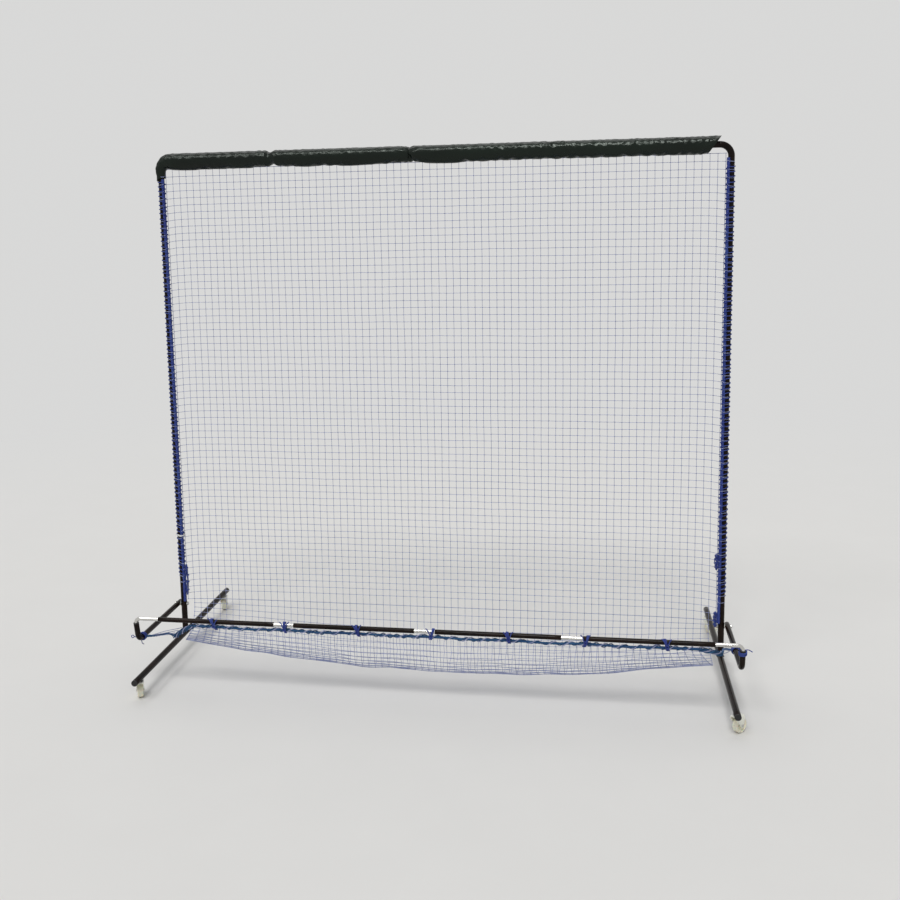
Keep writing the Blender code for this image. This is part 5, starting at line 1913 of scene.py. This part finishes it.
def axle_piece(name, centre, axle):
    """Riveted axle: a domed head at each end."""
    head_length = sum(advance for _, advance in AXLE_HEAD)
    start = Vector(centre) - axle * (AXLE_HALF + head_length)
    turning = Turning(name, start, axle, AXLE_HEAD[0][0], 32)
    turning.rim([*AXLE_HEAD[1:], (AXLE_RADIUS, 0.0)]).draw(2 * AXLE_HALF)
    return shade(close_holes(turning.rim(mirrored(AXLE_HEAD)).done()), 40)


def stem_piece(name, node):
    """Swivel stem: rivet under the crown, ball race above it, pin up into the leg."""
    low, high = box(node)
    at = middle(node)
    turning = Turning(name, Vector((at.x, at.y, low.z)), UP, 0.0045, 36)
    turning.rim([*STEM_RIVET, (STEM_RADIUS, 0.0)])
    turning.draw(RACE_FOOT - low.z - sum(advance for _, advance in STEM_RIVET))
    race = [*RACE_DISC, *RACE_LID]
    turning.rim([*race, (STEM_RADIUS, 0.0)])
    turning.draw(high.z - RACE_FOOT - sum(advance for _, advance in race))
    return shade(close_holes(turning.done()), 40)


class BALLNET_OT_add_casters(bpy.types.Operator):
    """Add the four swivel casters"""

    bl_idname = "ballnet.add_casters"
    bl_label = "Casters"

    def execute(self, context):
        finish = finishes()
        for _, end_name in ENDS:
            for _, side_name in SIDES:
                self.caster(finish, f"{end_name}_{side_name}")
        return {"FINISHED"}

    def caster(self, finish, corner):
        """One caster: its wheel turns on the fork's axle, and its fork on the stem."""
        wheel_at, stem_at = middle(f"caster_wheel_{corner}"), middle(f"caster_stem_{corner}")
        trail = Vector((wheel_at.x - stem_at.x, wheel_at.y - stem_at.y, 0)).normalized()
        axle = Vector((trail.y, -trail.x, 0))
        node, swivel = f"caster_wheel_{corner}", f"caster_swivel_{corner}"
        wheel = wheel_piece(f"wheel_{corner}", wheel_at, axle)
        finish_piece(wheel, finish["cream_nylon"], node, "cream_nylon", node)
        node = f"caster_fork_{corner}"
        fork = from_node(node, f"fork_{corner}", 0.0004)
        finish_piece(fork, finish["pale_zinc_fork"], swivel, "pale_zinc_fork", node)
        pin = axle_piece(f"axle_{corner}", wheel_at, axle)
        finish_piece(pin, finish["zinc_plate"], swivel, "zinc_plate", f"caster_axle_{corner}")
        node = f"caster_stem_{corner}"
        stem = stem_piece(f"stem_{corner}", node)
        finish_piece(stem, finish["zinc_plate"], "frame", "zinc_plate", node)


# Stage.


SENSOR_WIDTH = 36  # in millimetres, as the lens is
LAMP_DISTANCE = 4


class BALLNET_OT_add_stage(bpy.types.Operator):
    """Add the pale floor, the soft lamps and the camera"""

    bl_idname = "ballnet.add_stage"
    bl_label = "Stage"

    def execute(self, context):
        stage = settings("net_stage")
        bpy.ops.object.select_all(action="DESELECT")
        bpy.ops.mesh.primitive_plane_add(size=60, location=(0, 0, 0))
        floor = settle(bpy.context.object, "floor")
        behind = tuple(stage.backdrop)
        floor.data.materials.append(make_floor(tuple(stage.floor), behind, stage.fade_from, stage.fade_to))
        self.light(stage)
        self.look(stage)
        return {"FINISHED"}

    def light(self, stage):
        world = bpy.data.worlds.new("even_light")
        bpy.context.scene.world = world
        world.use_nodes = True
        tree = world.node_tree
        even = tree.nodes["Background"]
        even.inputs["Color"].default_value = (0.96, 0.98, 1.0, 1)
        even.inputs["Strength"].default_value = stage.sky
        seen = tree.nodes.new("ShaderNodeBackground")
        seen.inputs["Color"].default_value = (*stage.backdrop, 1)
        mix = tree.nodes.new("ShaderNodeMixShader")
        tree.links.new(seen_directly(tree), mix.inputs[0])
        tree.links.new(even.outputs[0], mix.inputs[1])
        tree.links.new(seen.outputs[0], mix.inputs[2])
        tree.links.new(mix.outputs[0], tree.nodes["World Output"].inputs[0])
        lamps = (
            ("key", (-0.02, -0.56, 0.83), stage.key, stage.spread),
            ("fill", (-0.38, -0.52, 0.78), stage.fill, stage.spread),
            ("top", (-0.1, 0.35, 1.0), stage.top, stage.top_spread),
        )
        for name, place, strength, spread in lamps:
            bpy.ops.object.light_add(type="SUN", location=Vector(place) * LAMP_DISTANCE)
            lamp = bpy.context.object
            lamp.name = f"lamp_{name}"
            lamp.rotation_euler = Vector(place).to_track_quat("Z", "Y").to_euler()
            lamp.data.energy = strength
            lamp.data.angle = spread

    def look(self, stage):
        bpy.ops.object.camera_add()
        camera = bpy.context.object
        camera.name = "photo_camera"
        pitch, roll, yaw = stage.pitch, stage.roll, stage.yaw
        ahead = Vector((-math.sin(yaw) * math.cos(pitch), math.cos(yaw) * math.cos(pitch), -math.sin(pitch)))
        level = Vector((math.cos(yaw), math.sin(yaw), 0))
        over = level.cross(ahead)
        right = level * math.cos(roll) + over * math.sin(roll)
        top = over * math.cos(roll) - level * math.sin(roll)
        turn = Matrix((right, top, -ahead)).transposed().to_4x4()
        camera.matrix_world = Matrix.Translation(stage.eye) @ turn
        camera.data.sensor_width = SENSOR_WIDTH
        camera.data.lens = stage.lens
        camera.data.shift_x = stage.shift_x
        camera.data.shift_y = stage.shift_y
        camera.data.clip_end = 100
        bpy.context.scene.camera = camera
        bpy.context.scene.view_settings.view_transform = "Standard"


OPERATORS = (
    BALLNET_OT_add_stage,
    BALLNET_OT_add_legs,
    BALLNET_OT_add_uprights,
    BALLNET_OT_add_casters,
    BALLNET_OT_add_pivots,
    BALLNET_OT_add_arms,
    BALLNET_OT_add_rail,
    BALLNET_OT_add_sleeve,
    BALLNET_OT_add_panel,
    BALLNET_OT_add_pocket,
    BALLNET_OT_add_laces,
    BALLNET_OT_add_rope,
    BALLNET_OT_add_ties,
)


class BALLNET_PT_panel(bpy.types.Panel):
    """Pieces of the ball-catching net"""

    bl_idname = "BALLNET_PT_panel"
    bl_label = "Ball-catching net"
    bl_space_type = "VIEW_3D"
    bl_region_type = "UI"
    bl_category = "Ball net"

    def draw(self, context):
        for operator in OPERATORS:
            self.layout.operator(operator.bl_idname, text=operator.bl_label)


def register():
    for group in GROUPS.values():
        bpy.utils.register_class(group)
    for name, group in GROUPS.items():
        setattr(bpy.types.Scene, name, PointerProperty(type=group))
    for operator in OPERATORS:
        bpy.utils.register_class(operator)
    bpy.utils.register_class(BALLNET_PT_panel)


def unregister():
    bpy.utils.unregister_class(BALLNET_PT_panel)
    for operator in reversed(OPERATORS):
        bpy.utils.unregister_class(operator)
    for name, group in GROUPS.items():
        delattr(bpy.types.Scene, name)
        bpy.utils.unregister_class(group)


def run(operator):
    group, name = operator.bl_idname.split(".")
    getattr(getattr(bpy.ops, group), name)()


def main():
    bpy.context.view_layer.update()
    register()
    for operator in OPERATORS:
        run(operator)


if __name__ == "__main__":
    main()
